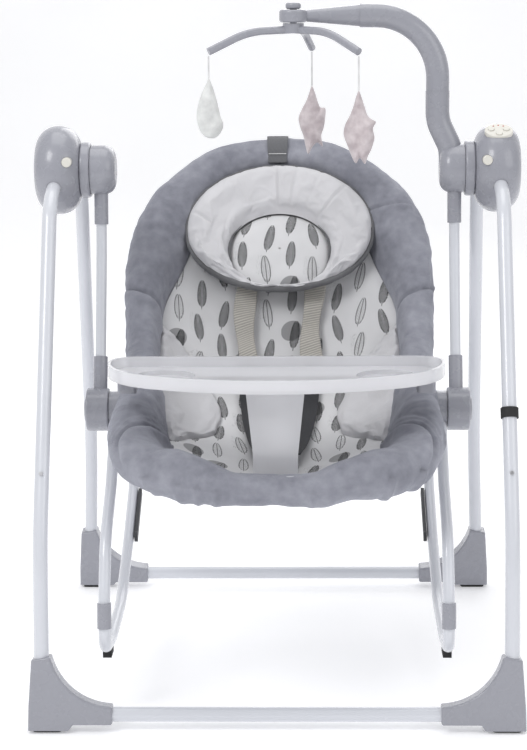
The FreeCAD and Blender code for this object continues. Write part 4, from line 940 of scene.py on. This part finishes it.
def top_tab():
    """A dark webbing loop sewn over the top of the rim."""
    degrees = np.linspace(-60, 128, 40)
    angles = np.radians(degrees)
    middle = RIM_LINE[-1]
    edge_swell = np.interp(degrees, [-60, 10, 60, 128], [0.0, 0.0004, 0.0026, 0.0040])
    radius = (EDGE_RADIUS[-1, 0] + edge_swell)[:, None]
    line = middle + radius * (np.cos(angles)[:, None] * BACK_UP + np.sin(angles)[:, None] * BACK_FACE)
    tail = line[-1] + np.outer(np.linspace(0.003, 0.012, 5), -BACK_UP * 0.95 - BACK_FACE * 0.25)
    line = np.vstack([line, tail]) - np.array((0.004, 0, 0))
    half_width = 0.0172 - 0.0028 * np.linspace(0, 1, len(line)) ** 2
    return strap("top_tab", line, half_width, 0.002, "tab_webbing"), line


tab, tab_line = top_tab()
stitch_place = tab_line[-7]
stitch_across = np.linspace(-0.0135, 0.0135, 12)
stitch_line = [stitch_place + np.array((x, 0, 0)) + BACK_FACE * 0.0013 for x in stitch_across]
stitch = tube("top_tab_stitch", stitch_line, 0.0006, "cord", 8)
for piece in (tab, stitch):
    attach(piece, "seat")


# ---------------------------------------------------------------- mobile: strings and toys

MOBILE_MIDDLE = (0.024, 0.0)
MOBILE_REACH, HOOK_HEIGHT, CORD_RADIUS = 0.125, 0.884, 0.00125
HOOK_ANGLES = {"leaf": 198.0, "star": 78.0, "moon": 316.4}
CORD_LENGTHS = {"leaf": 0.031, "star": 0.050, "moon": 0.047}


def hook(name):
    angle = math.radians(HOOK_ANGLES[name])
    x = MOBILE_MIDDLE[0] + MOBILE_REACH * math.cos(angle)
    y = MOBILE_MIDDLE[1] + MOBILE_REACH * math.sin(angle)
    return np.array((x, y, HOOK_HEIGHT))


def toy_string(name):
    """A toy's string, hanging straight from its hook to the toy."""
    top = hook(name)
    curve = bpy.data.curves.new(f"{name}_cord", "CURVE")
    curve.dimensions = "3D"
    curve.bevel_depth = CORD_RADIUS
    curve.bevel_resolution = 3
    line = curve.splines.new("NURBS")
    shares = (0, 0.33, 0.67, 1)
    line.points.add(len(shares) - 1)
    for point, share in zip(line.points, shares):
        point.co = (top[0], top[1], top[2] - CORD_LENGTHS[name] * share, 1)
    line.order_u = 3
    line.use_endpoint_u = True
    curve.materials.append(LOOKS["cord"])
    piece = bpy.data.objects.new(f"{name}_cord", curve)
    scene.collection.objects.link(piece)
    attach(piece, f"{name}_toy")
    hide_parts(f"{name}_string")
    return piece


def plush_toy(name, outline, thickness, look, yaw, folds):
    """A flat stuffed toy: two puffed faces on one outline (x and z below its string)."""
    outline = spline(outline, 150, closed=True)
    centre = outline.mean(axis=0)
    share = np.linspace(0, 1, 26)
    top = hook(name) - np.array((0, 0, CORD_LENGTHS[name]))
    turn = math.radians(yaw)
    sides = []
    for face in (1, -1):
        flat = centre + (outline[:, None] - centre) * share[None, :, None]
        height = thickness * (1 - share**2.6) ** 0.55
        ripple = folds * lumps(flat, 0.022, 41 + len(name)) * np.sin(math.pi * share)[None, :]
        puffed = flat + np.array((0, face, 0)) * (height[None, :] + ripple)[:, :, None]
        sides.append(puffed)
    points = np.concatenate([sides[0], sides[1][:, ::-1][:, 1:]], axis=1)
    spin = np.array([[math.cos(turn), -math.sin(turn), 0], [math.sin(turn), math.cos(turn), 0], [0, 0, 1]])
    points = points @ spin.T + top
    piece = grid(f"{name}_plush", points, look, close_rows=True)
    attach(piece, f"{name}_toy")
    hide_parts(f"{name}_toy")
    return piece


def outline_of(*corners):
    """An outline in the plane y = 0 from distances across and down, in millimetres."""
    return np.array([(x / 1000, 0, -down / 1000) for x, down in corners])


LEAF_OUTLINE = outline_of(
    (0, 0), (5, 10), (11, 30), (16, 52), (20, 66), (13, 80), (2, 84), (-10, 78), (-17, 62), (-17, 44),
    (-11, 22), (-4, 8))
STAR_OUTLINE = outline_of(
    (0, 0), (5, 11), (9, 24), (13, 32), (20, 33), (20, 47), (18, 60), (14, 74), (16, 90), (8, 84), (1, 90),
    (-6, 101), (-10, 88), (-13, 74), (-18, 60), (-20, 47), (-15, 34), (-9, 23), (-4, 10))
MOON_OUTLINE = outline_of(
    (0, 0), (4, 9), (8, 21), (12, 33), (18, 39), (24, 43), (20, 52), (22, 65), (18, 80), (13, 90), (9, 101),
    (2, 93), (-4, 100), (-10, 90), (-16, 75), (-21, 61), (-19, 47), (-12, 33), (-7, 20), (-4, 9))
for name in HOOK_ANGLES:
    toy_string(name)
plush_toy("leaf", LEAF_OUTLINE, 0.0105, "toy_white", 8, 0.0012)
plush_toy("star", STAR_OUTLINE, 0.0135, "toy_pink", 6, 0.0024)
plush_toy("moon", MOON_OUTLINE, 0.0140, "toy_pink", -8, 0.0026)


# ---------------------------------------------------------------- stage and light


def soft_light(name, place, aim, size, power, colour=(1, 1, 1)):
    data = bpy.data.lights.new(name, "AREA")
    data.shape, data.size, data.energy, data.color = "SQUARE", size, power, colour
    light = bpy.data.objects.new(name, data)
    scene.collection.objects.link(light)
    light.location = place
    light.rotation_euler = (Vector(aim) - Vector(place)).to_track_quat("-Z", "Y").to_euler()


def make_stage():
    """A pale seamless floor that curves up behind, and soft studio light."""
    n = Nodes("studio_paper")
    tone = n.ramp(n.noise(2, 2), (0.3, (0.90, 0.90, 0.91)), (0.7, (0.93, 0.93, 0.94)))
    n.set(Base_Color=tone, Roughness=0.75)
    n.set(Emission_Color=(1.0, 1.0, 1.0), Emission_Strength=0.24)
    LOOKS["stage"] = n.material
    bend = np.linspace(0, math.pi / 2, 16)
    profile = [(-9.0, 0.0), (3.0, 0.0)]
    profile += [(3.0 + 1.5 * math.sin(a), 1.5 - 1.5 * math.cos(a)) for a in bend[1:]]
    profile.append((4.5, 6.0))
    points = np.array([[(x, y, z - 0.0005) for x in (-9.0, -3.0, 3.0, 9.0)] for y, z in profile])
    grid("floor", points, "stage")
    world = bpy.data.worlds.new("world")
    scene.world = world
    world.use_nodes = True
    world.node_tree.nodes["Background"].inputs[0].default_value = (0.97, 0.98, 1.0, 1)
    world.node_tree.nodes["Background"].inputs[1].default_value = 0.52
    soft_light("key", (-1.9, -2.2, 2.9), (0, 0, 0.4), 1.5, 50)
    soft_light("fill", (2.4, -1.7, 1.9), (0, 0, 0.45), 2.0, 18)
    soft_light("top", (0, 0.4, 3.3), (0, 0, 0.3), 2.2, 26)
    soft_light("rear", (0.6, 2.6, 2.0), (0, 0.2, 0.5), 1.8, 16)
    scene.view_settings.view_transform = "Standard"


make_stage()
